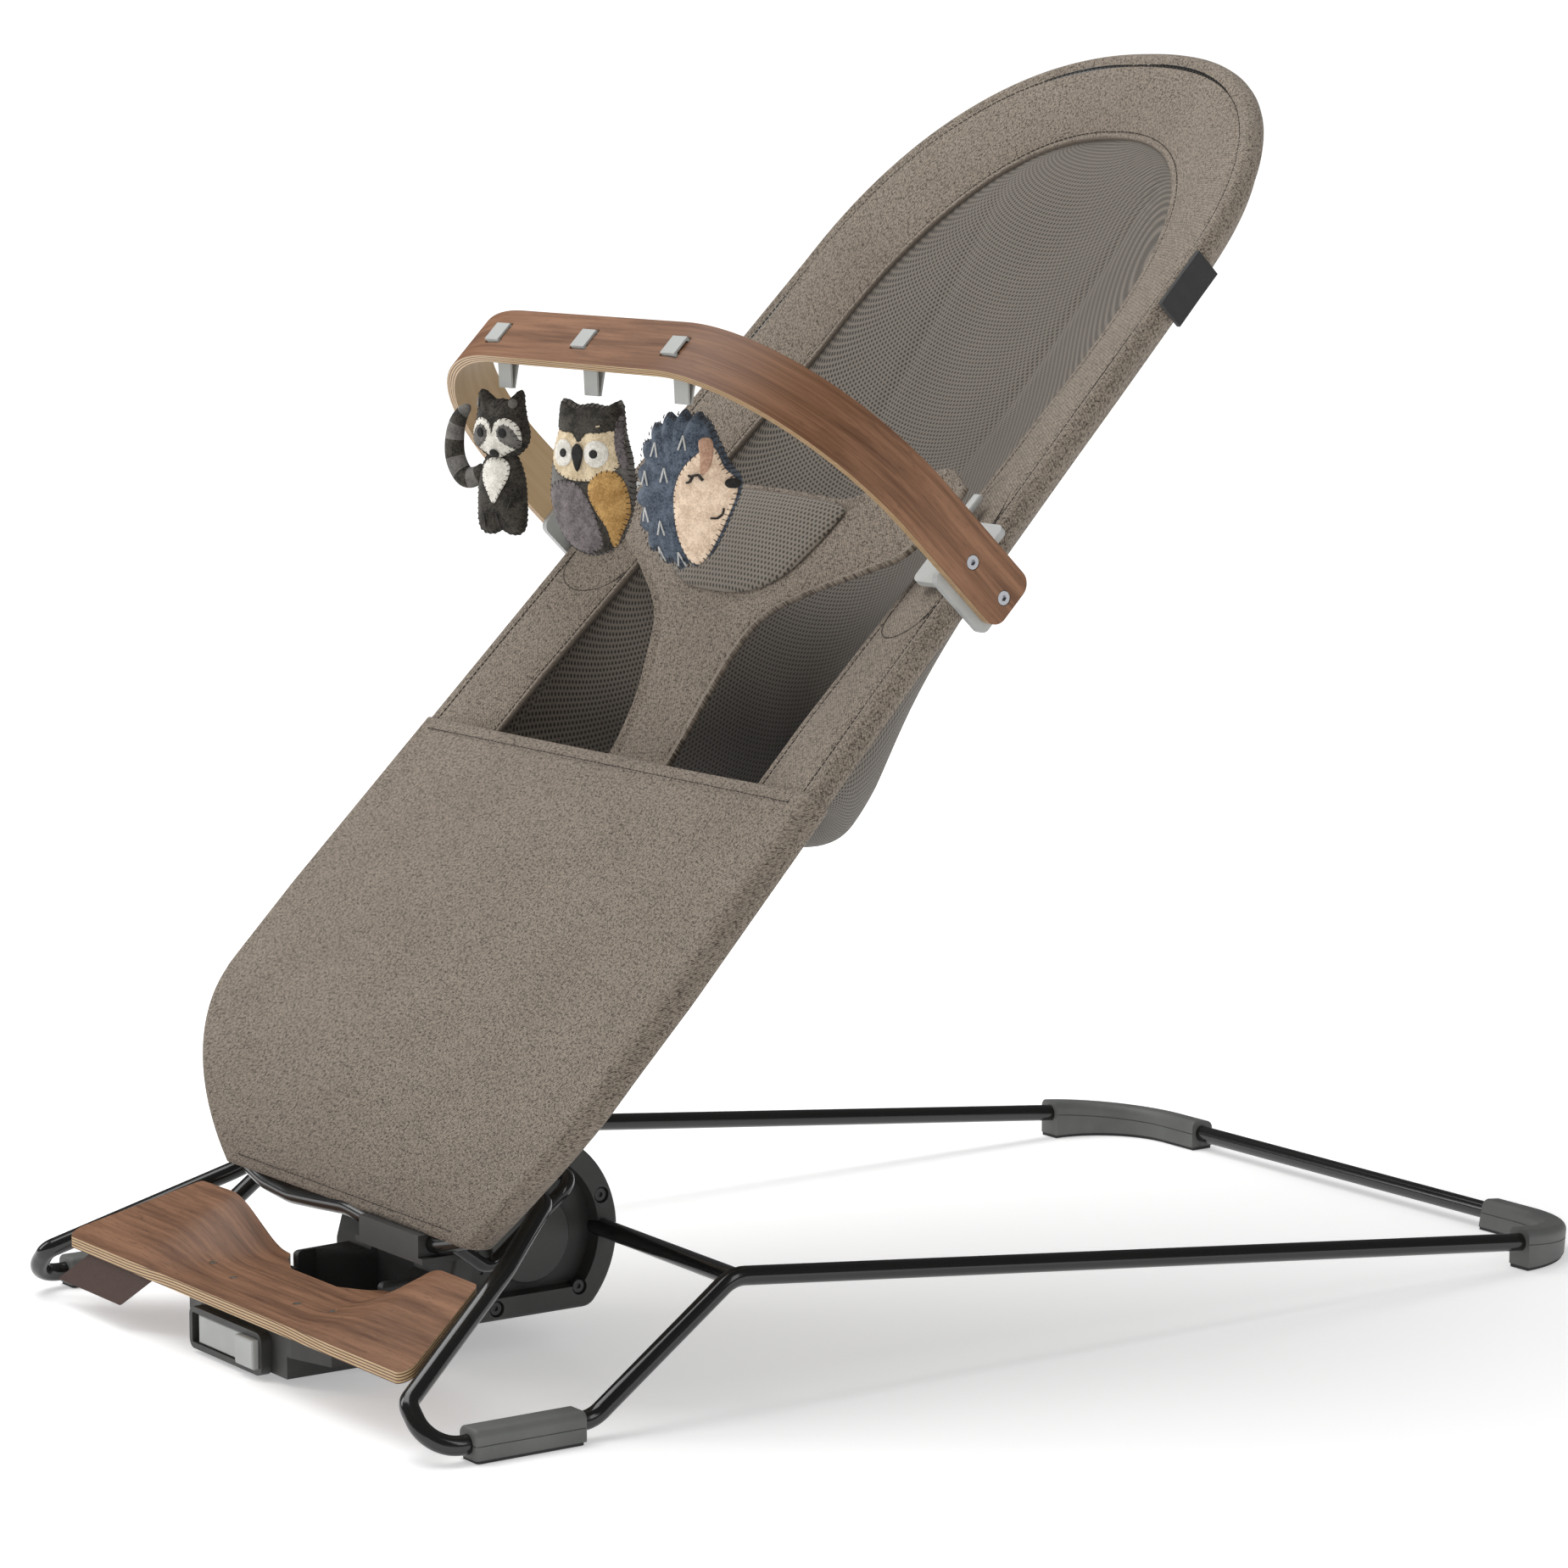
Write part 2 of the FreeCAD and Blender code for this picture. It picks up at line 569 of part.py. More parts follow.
leg_cover = wrap(-cover_half, cover_half, hem_s, pocket_s).common(front_view(0.0, hem_s, pocket_s + 12))
leg_room = wrap(-5.3, 5.3, -96, pocket_s + 5).common(front_view(24.0, -96, pocket_s + 12))
leg_cover = leg_cover.cut(leg_room).cut(rod(hoop_path, tube_r + gap)).cut(rod(low_path, tube_r + gap))
leg_cover = leg_cover.cut(rod(loop_path, thin_r + gap)).cut(flip(rod(loop_path, thin_r + gap)))
leg_cover = leg_cover.cut(box(22 - gap, 90 + gap, 40, 74, 55, 80 + gap))
save("leg_cover", one(leg_cover))

sling_s0 = pocket_s + 6.0
sling_s1 = head_s - 9.0
belly_s = 182.0


def sag(x, s, grow=0.0):
    """depth of the mesh sling behind the border"""
    w = side(s, 4.0) + grow
    if w < 6:
        return 0.0
    shelf = min(max((s - 200.0) / 130.0, 0.0), 1.0)
    across = max(0.0, 1 - (abs(x) / w) ** (3.4 - 1.4 * shelf))
    if s < belly_s:
        t = max(0.0, (s - sling_s0 + grow) / (belly_s - sling_s0 + grow))
        return sling_deep * across * math.sin(math.pi / 2 * t) ** 0.5
    t = min(1.0, (s - belly_s) / (sling_s1 - belly_s + grow))
    back = back_deep * math.cos(math.pi / 2 * t)
    seat_part = (sling_deep - back_deep) * math.exp(-((s - belly_s) / 66.0) ** 2)
    return across * max(0.0, back + seat_part)


us = steps(-188, 188, 25)
vs = [sling_s0 - 2, sling_s0 + 3, sling_s0 + 8, sling_s0 + 14] + steps(belly_s, sling_s1 + 6, 18)
behind = -sleeve_t - 0.6
sheet = slab(lambda x, s: seat(x, s, behind - sag(x, s)),
             lambda x, s: seat(x, s, behind - 3.0 - sag(x, s, 3.0)), us, vs)
trimmed = sheet.common(lofty(arch(6.0, sling_s0), -160, 0))
save("sling", one(trimmed))


def strap_lift(x, s):
    """height of the harness over the seat plane"""
    t = min(max((s - 185.0) / 140.0, 0.0), 1.0)
    mid = -2.0 + 29.0 * t * t * (3 - 2 * t)
    u = min(abs(x) / 128.0, 1.0)
    return mid + (11.0 - mid) * u * u * t


us = steps(-150, 150, 21)
vs = steps(135, 372, 15)
cloth = slab(lambda x, s: seat(x, s, strap_lift(x, s) + 2.4),
             lambda x, s: seat(x, s, strap_lift(x, s) - 2.4), us, vs)
tee = [(29, 140), (29, 180), (35, 214), (49, 250), (81, 271), (123, 293), (144, 315)]
brim = [(144, 356), (130, 366), (106, 353), (71, 331), (30, 326)]


def tee_face(n):
    pts = [seat(x, s, n) for x, s in tee]
    rim = [seat(x, s, n) for x, s in brim]
    rim += [V(-p.x, p.y, p.z) for p in reversed(rim)]
    a = Part.BSplineCurve()
    a.interpolate(pts)
    b = Part.BSplineCurve()
    b.interpolate(rim)
    c = Part.BSplineCurve()
    c.interpolate([V(-p.x, p.y, p.z) for p in reversed(pts)])
    wire = Part.Wire([a.toShape(), Part.makeLine(pts[-1], rim[0]), b.toShape(),
                      Part.makeLine(rim[-1], V(-pts[-1].x, pts[-1].y, pts[-1].z)), c.toShape(),
                      Part.makeLine(V(-pts[0].x, pts[0].y, pts[0].z), pts[0])])
    return Part.Face(wire)


harness = one(cloth.common(tee_face(-40).extrude(push * 120)))
save("harness", harness)
pad = slab(lambda x, s: seat(x, s, strap_lift(x, s) + 5.4),
           lambda x, s: seat(x, s, strap_lift(x, s) + 2.5), us, vs)
pad_pts = [(71, 323), (62, 288), (30, 262), (-30, 262), (-62, 288), (-71, 323), (71, 323)]
pad_face = Part.Face(Part.makePolygon([seat(x, s, -10) for x, s in pad_pts]))
pad = pad.common(rounded(pad_face, 8.0).extrude(push * 60))
save("harness_pad", one(pad))


def block(x0, x1, s0, s1, n0, n1):
    """box lined up with the seat plane"""
    pts = [seat(x0, s0, n0), seat(x1, s0, n0), seat(x1, s1, n0), seat(x0, s1, n0)]
    return prism(pts, push * (n1 - n0))


toggle = soften(block(145.2, 151.5, 338, 352, sleeve_t + 0.4, sleeve_t + 4.4), 1.5, lambda e: True)
save("belt_toggles", Part.makeCompound([toggle, flip(toggle)]))
label_s = [490.0, 509.0, 528.0]
label_pts = [seat(side(s) - 1.0, s, -9) for s in label_s]
label_pts += [seat(side(s) + 3.4, s, -9) for s in reversed(label_s)]
label = prism(label_pts, push * 18)
save("side_label", one(label.cut(lofty(arch(-gap, pocket_s), -12, 12))))

# ---------------------------------------------------------------- toy bar
s0 = bar_s - bar_wide / 2
s1 = bar_s + bar_wide / 2


def bow(shrink, low):
    """arch line across the seat, in the plane s = s0"""
    w = bar_half - shrink
    top = bar_top - shrink
    r = bar_bend - shrink
    k = r * math.sqrt(0.5)
    pts = [seat(w, s0, low), seat(w, s0, top - r), seat(w - r + k, s0, top - r + k),
           seat(w - r, s0, top)]
    left = [V(-p.x, p.y, p.z) for p in pts]
    return [Part.makeLine(pts[0], pts[1]), Part.Arc(pts[1], pts[2], pts[3]).toShape(),
            Part.makeLine(pts[3], left[3]), Part.Arc(left[3], left[2], left[1]).toShape(),
            Part.makeLine(left[1], left[0])], pts[0], left[0]


outer, a0, b0 = bow(0.0, bar_low)
inner, a1, b1 = bow(bar_t, bar_low)
rim = Part.Wire(Part.__sortEdges__(outer + inner + [Part.makeLine(a0, a1), Part.makeLine(b0, b1)]))
run = seat(0, 1) - seat(0, 0)
toy_bar = Part.Face(rim).extrude(run * bar_wide)
toy_bar = soften(toy_bar, 8.0, lambda e: along(V(1, 0, 0))(e) and e.Length < bar_t + 0.5)
slit_s = 5.2
slit_x = 7.6
slit_w = 1.9
ribbon_x = 6.5
loops = []
for k in (-1, 0, 1):
    x = k * toy_pitch
    for side_s in (-slit_s, slit_s):
        toy_bar = toy_bar.cut(block(x - slit_x, x + slit_x, bar_s + side_s - slit_w,
                                    bar_s + side_s + slit_w, bar_top - bar_t - 4, bar_top + 4))
    loop = block(x - ribbon_x, x + ribbon_x, bar_s - slit_s - 0.7, bar_s + slit_s + 0.7, bar_top + 0.1,
                 bar_top + 1.3)
    for side_s in (-slit_s, slit_s):
        loop = loop.fuse(block(x - ribbon_x, x + ribbon_x, bar_s + side_s - 0.7, bar_s + side_s + 0.7,
                               bar_top - bar_t, bar_top + 1.3))
    loops.append(one(loop.removeSplitter()))
save("strap_loops", Part.makeCompound(loops))

clip_x0 = side(283) + gap
clip_x1 = bar_half - bar_t - gap
clip = block(clip_x0, clip_x1, 283, 322, -18.6, 26)
clip = soften(clip, 5.0, along(V(1, 0, 0)))
plate = block(148.5, clip_x1, 291, 333, sleeve_t + 1.2, sleeve_t + 4.8)
plate = soften(plate, 5.0, along(push))
clip = clip.fuse(plate).removeSplitter()
pins = []
for n in (17.0, -11.0):
    at = seat(bar_half - 2.6, bar_s - 1, n)
    toy_bar = toy_bar.cut(cyl_x(4.1, at.x, at.x + 9, at.y, at.z))
    toy_bar = toy_bar.cut(flip(cyl_x(4.1, at.x, at.x + 9, at.y, at.z)))
    toy_bar = toy_bar.cut(cyl_x(2.1, -220, 220, at.y, at.z))
    clip = clip.cut(cyl_x(2.1, 180, 195, at.y, at.z))
    pin = cyl_x(3.7, at.x, at.x + 2.3, at.y, at.z).fuse(cyl_x(2.0, 186, at.x, at.y, at.z))
    hexagon = [V(at.x + 0.9, at.y + 1.7 * math.cos(math.radians(60 * k)),
                 at.z + 1.7 * math.sin(math.radians(60 * k))) for k in range(6)]
    pins.append(pin.cut(prism(hexagon, V(3, 0, 0))))
save("toy_bar", one(toy_bar))
both("bar_clip", one(clip))
save("bar_screws", Part.makeCompound(pins + [flip(p) for p in pins]))

# ---------------------------------------------------------------- hanging toys
hang = seat(0, bar_s, bar_top - bar_t)
toy_y = hang.y + 1.3
toy_top = hang.z - 26.5


def ribbon(x):
    """two tails that come together at the toy"""
    tails = []
    for side_s in (-slit_s, slit_s):
        a = seat(x - ribbon_x, bar_s + side_s, bar_top - bar_t - 4.6)
        b = V(x - ribbon_x, toy_y + (0.65 if side_s > 0 else -0.65), toy_top + gap)
        across = V(0, b.z - a.z, a.y - b.y).normalize() * 0.55
        tails.append(prism([a + across, a - across, b - across, b + across], V(2 * ribbon_x, 0, 0)))
    return tails[0].fuse(tails[1])


def stuffed(points, x, thick, grow):
    """cushion with the outline of a few points, grown from its top and turned on its strap"""
    pts = [V(x + px * grow, toy_y - thick / 2, toy_top - (80.0 - pz) * grow) for px, pz in points]
    curve = Part.BSplineCurve()
    curve.interpolate(pts, PeriodicFlag=True)
    body = Part.Face(Part.Wire([curve.toShape()])).extrude(V(0, thick, 0))
    body = soften(body, 4.0, lambda e: True)
    body.rotate(V(x, toy_y, 0), V(0, 0, 1), toy_turn)
    return body


owl = [(0, 0), (17, 8), (26, 30), (24, 50), (21, 66), (20, 80), (10, 77), (0, 79.5), (-10, 77),
       (-20, 80), (-21, 66), (-24, 50), (-26, 30), (-17, 8)]
raccoon = [(0, 2), (12, 0), (17, 12), (17, 30), (13, 42), (18, 56), (16, 80), (8, 74), (0, 79.5),
           (-8, 74), (-16, 80), (-18, 56), (-15, 44), (-26, 52), (-29, 66), (-37, 60), (-36, 44),
           (-26, 32), (-17, 28), (-17, 12), (-12, 0)]
hedgehog = [(4, 0), (17, 14), (27, 32), (34, 48), (24, 56), (21, 66), (12, 77), (0, 79.5), (-14, 74),
            (-23, 62), (-29, 44), (-28, 26), (-22, 10), (-10, 2)]
for name, shape, k, grow in (("raccoon", raccoon, -1, 1.0), ("owl", owl, 0, 1.06),
                             ("hedgehog", hedgehog, 1, 1.06)):
    save(name, one(stuffed(shape, k * toy_pitch, toy_t * grow - 3, grow)))
    save(name + "_strap", one(ribbon(k * toy_pitch)))
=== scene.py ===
# %% [markdown]
# # A baby bouncer seat
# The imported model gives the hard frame: bent steel tubes, the hub, the plywood and the clips. This
# lesson loads it, puts the camera and the light round it, gives every hard part a finish, and makes
# the cloth, the mesh and the felt toys as surfaces worked out from a few formulas.

# %% Load the frame
import math
import bmesh
import bpy
import numpy as np
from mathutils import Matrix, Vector


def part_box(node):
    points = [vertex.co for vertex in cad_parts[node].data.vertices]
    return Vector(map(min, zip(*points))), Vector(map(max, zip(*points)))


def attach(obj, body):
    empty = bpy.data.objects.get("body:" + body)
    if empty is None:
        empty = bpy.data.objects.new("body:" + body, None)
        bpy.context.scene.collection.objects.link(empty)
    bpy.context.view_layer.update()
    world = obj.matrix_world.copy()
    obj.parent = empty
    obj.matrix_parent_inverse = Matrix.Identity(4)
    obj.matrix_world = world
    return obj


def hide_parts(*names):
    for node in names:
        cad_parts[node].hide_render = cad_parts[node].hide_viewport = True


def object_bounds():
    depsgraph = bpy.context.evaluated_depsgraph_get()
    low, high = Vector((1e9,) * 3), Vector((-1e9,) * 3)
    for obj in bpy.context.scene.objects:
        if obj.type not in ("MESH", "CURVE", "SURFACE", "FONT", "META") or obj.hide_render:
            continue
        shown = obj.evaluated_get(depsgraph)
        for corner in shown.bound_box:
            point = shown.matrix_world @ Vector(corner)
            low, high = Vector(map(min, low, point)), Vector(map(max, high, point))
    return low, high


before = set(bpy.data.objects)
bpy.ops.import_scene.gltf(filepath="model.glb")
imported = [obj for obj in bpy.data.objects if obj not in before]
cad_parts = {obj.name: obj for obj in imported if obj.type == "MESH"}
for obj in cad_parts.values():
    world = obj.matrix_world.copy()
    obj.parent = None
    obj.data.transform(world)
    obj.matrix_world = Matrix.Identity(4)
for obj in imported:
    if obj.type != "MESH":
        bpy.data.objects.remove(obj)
cad_low, cad_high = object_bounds()
print("hard frame", [round(v, 3) for v in cad_high - cad_low])

# %% [markdown]
# ## Camera
# A long lens from a good distance keeps the rails nearly parallel. The camera stands to the right of
# the foot end, a little above the toy bar, and looks down by eight degrees.

# %% Camera
eye = Vector((2.2047, -1.5602, 0.6587))
aim = Vector((-0.81315, 0.56513, -0.14004))
lens = bpy.data.cameras.new("camera")
lens.lens = 113.27
lens.sensor_width = 36.0
camera = bpy.data.objects.new("camera", lens)
camera.location = eye
camera.rotation_euler = aim.to_track_quat("-Z", "Y").to_euler()
bpy.context.scene.collection.objects.link(camera)
bpy.context.scene.camera = camera
bpy.context.scene.view_settings.view_transform = "Standard"
print("camera at", tuple(round(v, 3) for v in eye))

# %% [markdown]
# ## Floor and light
# A seamless white floor under a white sky is the plainest way to show a product. The sky is dimmer in
# reflections, so that black gloss stays black. One wide lamp overhead gives the soft shadow, and a
# painted shadow in the floor's glow deepens it. Two weaker lamps put the long highlights on the black tubes.

# %% Floor and light
def lamp(name, place, target, size, power):
    """area light at place that faces target"""
    data = bpy.data.lights.new(name, "AREA")
    data.shape = "RECTANGLE"
    data.size, data.size_y = size
    data.energy = power
    obj = bpy.data.objects.new(name, data)
    obj.location = place
    obj.rotation_euler = (Vector(target) - Vector(place)).to_track_quat("-Z", "Y").to_euler()
    bpy.context.scene.collection.objects.link(obj)


sky_light, sky_seen, sky_gloss = 0.40, 1.05, -0.30
world = bpy.data.worlds.new("sky")
world.use_nodes = True
sky = world.node_tree.nodes["Background"]
sky.inputs["Color"].default_value = (1.0, 1.0, 1.0, 1.0)
seen = world.node_tree.nodes.new("ShaderNodeLightPath")
level = world.node_tree.nodes.new("ShaderNodeMapRange")
level.inputs["To Min"].default_value = sky_light
level.inputs["To Max"].default_value = sky_seen
world.node_tree.links.new(seen.outputs["Is Camera Ray"], level.inputs["Value"])
dimmer = world.node_tree.nodes.new("ShaderNodeMath")
dimmer.operation = "MULTIPLY_ADD"
dimmer.inputs[1].default_value = sky_gloss
world.node_tree.links.new(seen.outputs["Is Glossy Ray"], dimmer.inputs[0])
world.node_tree.links.new(level.outputs[0], dimmer.inputs[2])
world.node_tree.links.new(dimmer.outputs[0], sky.inputs["Strength"])
bpy.context.scene.world = world
lamp("overhead", (-0.7, -0.5, 2.3), (0.0, 0.0, 0.2), (2.4, 1.6), 40.0)
lamp("left", (-1.9, -1.9, 1.3), (0.0, 0.0, 0.3), (0.9, 1.6), 16.0)
lamp("right", (2.6, 0.7, 1.7), (0.0, 0.1, 0.3), (0.6, 1.8), 9.0)

# %% [markdown]
# ## Shader maths as Python
# A finish is a network of small sums. Written node by node it is long and hard to read, so one class
# wraps a socket and lets the usual signs add the nodes. A `Finish` is one material: `put` adds any
# other node, and `paint` fills the shader's own sockets at the end.

# %% Values and finishes
def wire(tree, socket, value):
    """a link where the value comes from a node, else the socket's own number"""
    if isinstance(value, Value):
        tree.links.new(value.socket, socket)
    else:
        socket.default_value = value


class Value:
    """a number or vector on its way through a node tree"""

    def __init__(self, tree, socket):
        self.tree, self.socket = tree, socket

    def math(self, operation, *others):
        node = self.tree.nodes.new("ShaderNodeMath")
        node.operation = operation
        for socket, value in zip(node.inputs, others):
            wire(self.tree, socket, value)
        return Value(self.tree, node.outputs[0])

    def __add__(self, other): return self.math("ADD", self, other)
    def __radd__(self, other): return self.math("ADD", other, self)
    def __sub__(self, other): return self.math("SUBTRACT", self, other)
    def __rsub__(self, other): return self.math("SUBTRACT", other, self)
    def __mul__(self, other): return self.math("MULTIPLY", self, other)
    def __rmul__(self, other): return self.math("MULTIPLY", other, self)
    def __truediv__(self, other): return self.math("DIVIDE", self, other)
    def __mod__(self, other): return self.math("FLOORED_MODULO", self, other)
    def __abs__(self): return self.math("ABSOLUTE", self)
    def most(self, other): return self.math("MAXIMUM", self, other)
    def least(self, other): return self.math("MINIMUM", self, other)
    def sin(self): return self.math("SINE", self)
    def root(self): return self.math("SQRT", self)


class Finish:
    """one material: place is the point on the object in metres, cloth the point on a piece's own cut"""

    def __init__(self, name):
        self.material = bpy.data.materials.new(name)
        self.material.use_nodes = True
        self.tree = self.material.node_tree
        self.shader = self.tree.nodes["Principled BSDF"]
        self.coords = self.tree.nodes.new("ShaderNodeTexCoord")

    def put(self, kind, settings, values, out=0):
        """any other node: its settings first, then its sockets"""
        node = self.tree.nodes.new(kind)
        for key, value in settings.items():
            setattr(node, key, value)
        for key, value in values.items():
            wire(self.tree, node.inputs[key], value)
        return Value(self.tree, node.outputs[out])

    @property
    def place(self):
        return Value(self.tree, self.coords.outputs["Object"])

    @property
    def cloth(self):
        return Value(self.tree, self.coords.outputs["UV"])

    def parts(self, vector):
        """the three numbers of a vector"""
        node = self.tree.nodes.new("ShaderNodeSeparateXYZ")
        wire(self.tree, node.inputs[0], vector)
        return [Value(self.tree, o) for o in node.outputs]

    def join(self, x, y, z):
        """a vector from three numbers"""
        return self.put("ShaderNodeCombineXYZ", {}, {0: x, 1: y, 2: z})

    def vector(self, operation, *vectors, out=0):
        """vector maths: its second output is the single number of a dot product or a length"""
        return self.put("ShaderNodeVectorMath", {"operation": operation}, dict(enumerate(vectors)), out)

    def scaled(self, vector, factors):
        return self.vector("MULTIPLY", vector, factors)

    def dot(self, vector, way):
        return self.vector("DOT_PRODUCT", vector, tuple(way), out=1)

    @property
    def facing(self):
        """the way the surface faces"""
        return self.put("ShaderNodeNewGeometry", {}, {}, out=1)

    def noise(self, vector, size, detail=2.0, rough=0.5):
        """soft grain whose patches are about size metres across, 0 to 1"""
        return self.put("ShaderNodeTexNoise", {},
                        {"Vector": vector, "Scale": 1.0 / size, "Detail": detail, "Roughness": rough})

    def step(self, value, low, high):
        """0 below low, 1 above high and smooth between"""
        return self.put("ShaderNodeMapRange", {"interpolation_type": "SMOOTHSTEP"},
                        {0: value, 1: low, 2: high, 3: 0.0, 4: 1.0})

    def mix(self, factor, a, b):
        """colour a where factor is 0 and b where it is 1"""
        colour = [c if isinstance(c, Value) else (*c, 1.0) for c in (a, b)]
        return self.put("ShaderNodeMix", {"data_type": "RGBA"}, {0: factor, 6: colour[0], 7: colour[1]},
                        out=2)

    def paint(self, colour, rough, height=None, depth=0.0005, strength=0.5, **fixed):
        """fills the shader: colour, roughness, relief of depth metres, and plain numbers"""
        if isinstance(colour, Value):
            wire(self.tree, self.shader.inputs["Base Color"], colour)
        else:
            self.shader.inputs["Base Color"].default_value = (*colour, 1.0)
        wire(self.tree, self.shader.inputs["Roughness"], rough)
        if height is not None:
            wire(self.tree, self.shader.inputs["Normal"], self.put(
                "ShaderNodeBump", {}, {"Height": height, "Distance": depth, "Strength": strength}))
        for key, value in fixed.items():
            self.shader.inputs[key.replace("_", " ")].default_value = value
        return self.material


print("finishes can be mixed")

# %% [markdown]
# ## Steel, rubber and moulded plastic
# The tubes have a smooth powder coat with a high gloss, and a very faint orange peel breaks the
# highlight. The moulded parts have a fine spark-eroded grain, which is a relief of a few hundredths
# of a millimetre and slightly uneven roughness.

# %% Hard finishes
def gloss_steel():
    f = Finish("black_coat")
    peel = f.noise(f.place, 0.004, 3.0)
    cloud = f.noise(f.place, 0.06, 2.0)
    return f.paint(f.mix(cloud, (0.007, 0.007, 0.007), (0.013, 0.013, 0.012)), 0.13 + 0.08 * cloud,
                   peel, 0.00006, 0.25, Coat_Weight=0.2, Coat_Roughness=0.05)


def moulded(name, dark, light, grain=0.0007, rough=0.5, depth=0.00008):
    """dark and light are the ends of a gentle cloudiness, grain the size of the moulded texture"""
    f = Finish(name)
    cloud = f.noise(f.place, 0.03, 3.0)
    fine = f.noise(f.place, grain, 2.0)
    shade = f.step(cloud + 0.25 * fine, 0.35, 0.9)
    return f.paint(f.mix(shade, dark, light), rough - 0.06 + 0.14 * fine, fine, depth, 0.6)


def brushed(name, colour):
    f = Finish(name)
    scratch = f.noise(f.scaled(f.place, (1.0, 6.0, 6.0)), 0.0012, 3.0)
    return f.paint(f.mix(scratch, colour, tuple(c * 1.5 for c in colour)), 0.22 + 0.2 * scratch,
                   scratch, 0.00005, 0.4, Metallic=1.0)


def black_screw():
    f = Finish("black_screw")
    scratch = f.noise(f.place, 0.001, 3.0)
    return f.paint(f.mix(scratch, (0.015, 0.015, 0.016), (0.04, 0.04, 0.042)), 0.25 + 0.2 * scratch,
                   scratch, 0.00005, 0.4)


steel = gloss_steel()
foot_rubber = moulded("foot_rubber", (0.105, 0.110, 0.104), (0.138, 0.143, 0.135), rough=0.55)
sole_rubber = moulded("sole_rubber", (0.030, 0.030, 0.030), (0.045, 0.045, 0.045), rough=0.8)
hub_plastic = moulded("hub_plastic", (0.030, 0.030, 0.029), (0.047, 0.047, 0.045), rough=0.48)
cap_plastic = moulded("cap_plastic", (0.036, 0.036, 0.035), (0.052, 0.052, 0.050), rough=0.4)
well_plastic = moulded("well_plastic", (0.014, 0.014, 0.014), (0.024, 0.024, 0.023), rough=0.6)
pale_plastic = moulded("pale_plastic", (0.37, 0.38, 0.37), (0.45, 0.46, 0.45), rough=0.42, depth=0.00004)
nylon = moulded("natural_nylon", (0.62, 0.61, 0.57), (0.70, 0.69, 0.65), rough=0.4)
zinc = brushed("zinc_screw", (0.34, 0.35, 0.37))
dark_screw = black_screw()
print("hard finishes", len(bpy.data.materials))

# %% [markdown]
# ## Walnut plywood
# Both boards are moulded from pale birch plies with a walnut veneer outside. One material tells the
# faces from the edges by depth below the veneer, because the layers follow the bend of the board:
# the depth is the same formula that bends the solid. Grain is noise drawn out along the fibre.

# %% Wood
def veneer(f, along, across, through):
    """walnut face from three lengths in metres: along the fibre, across it and through the sheet"""
    place = f.join(along * 0.045, across, through * 0.6)
    wave = f.noise(place, 0.010, 3.0, 0.55)
    band = f.noise(place, 0.0022, 4.0, 0.6)
    pore = f.noise(f.join(along * 0.08, across, through), 0.0006, 2.0)
    shade = f.step(0.55 * wave + 0.45 * band, 0.30, 0.68)
    face = f.mix(shade, (0.110, 0.046, 0.021), (0.300, 0.150, 0.080))
    pores = f.step(pore, 0.58, 0.72)
    return f.mix(0.45 * pores, face, (0.06, 0.026, 0.014)), band - 0.5 * pores


def ply_edge(f, depth, thick, plies, along):
    """pale plies with thin dark glue lines, counted through the thickness"""
    phase = (depth * (plies / thick)) % 1.0
    line = f.step(abs(phase - 0.5), 0.24, 0.36)
    grain = f.noise(f.scaled(f.place, (40.0, 400.0, 400.0)), 1.0, 2.0)
    pale = f.mix(grain, (0.46, 0.30, 0.15), (0.64, 0.46, 0.27))
    return f.mix(line, pale, (0.10, 0.046, 0.020)), line


def wood_finish(f, depth, thick, along, across, edge, inner):
    """edge is 1 on the sawn edges, inner 1 on the birch side"""
    face, relief = veneer(f, along, across, depth)
    birch_grain = f.noise(f.join(along * 0.06, across, depth), 0.003, 3.0)
    birch = f.mix(birch_grain, (0.50, 0.34, 0.18), (0.66, 0.49, 0.30))
    plies, line = ply_edge(f, depth, thick, 4.0, along)
    skin = f.mix(inner, face, birch)
    colour = f.mix(edge, skin, plies)
    return f.paint(colour, 0.42 + 0.12 * relief, relief * (1.0 - edge) - 0.6 * line * edge, 0.00012, 0.5,
                   Specular_IOR_Level=0.3)


board_front, board_rise, board_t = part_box("footboard")[0][1] + 0.0064, 0.0381, 0.006
middle_slope, wing_slope, wing_from, wing_run = 0.09, 0.35, 0.050, 0.062


def footboard_wood():
    """depth = height of the bent top minus z, with the same two-slope wing as the solid"""
    f = Finish("footboard_walnut")
    x, y, z = f.parts(f.place)
    t = f.put("ShaderNodeClamp", {}, {0: (abs(x) - wing_from) / wing_run})
    wing = t * t * (3.0 - 2.0 * t)
    depth = board_rise + (y - board_front) * (middle_slope + wing_slope * wing) - z
    edge = f.step(abs(f.parts(f.facing)[2]), 0.62, 0.5)
    inner = f.step(depth, 0.0045, 0.005)
    return wood_finish(f, depth, board_t, x, y, edge, inner)


lean = math.radians(45.7)
up_slope = Vector((0.0, math.cos(lean), math.sin(lean)))
out_slope = Vector((0.0, -math.sin(lean), math.cos(lean)))
pivot = (Vector(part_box("front_bar")[0]) + Vector(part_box("front_bar")[1])) / 2
seat_root = Vector((0.0, pivot.y + 0.010, 0.1885))
bar_bend, bar_half, bar_top, bar_t = 0.115, 0.1955, 0.172, 0.0055


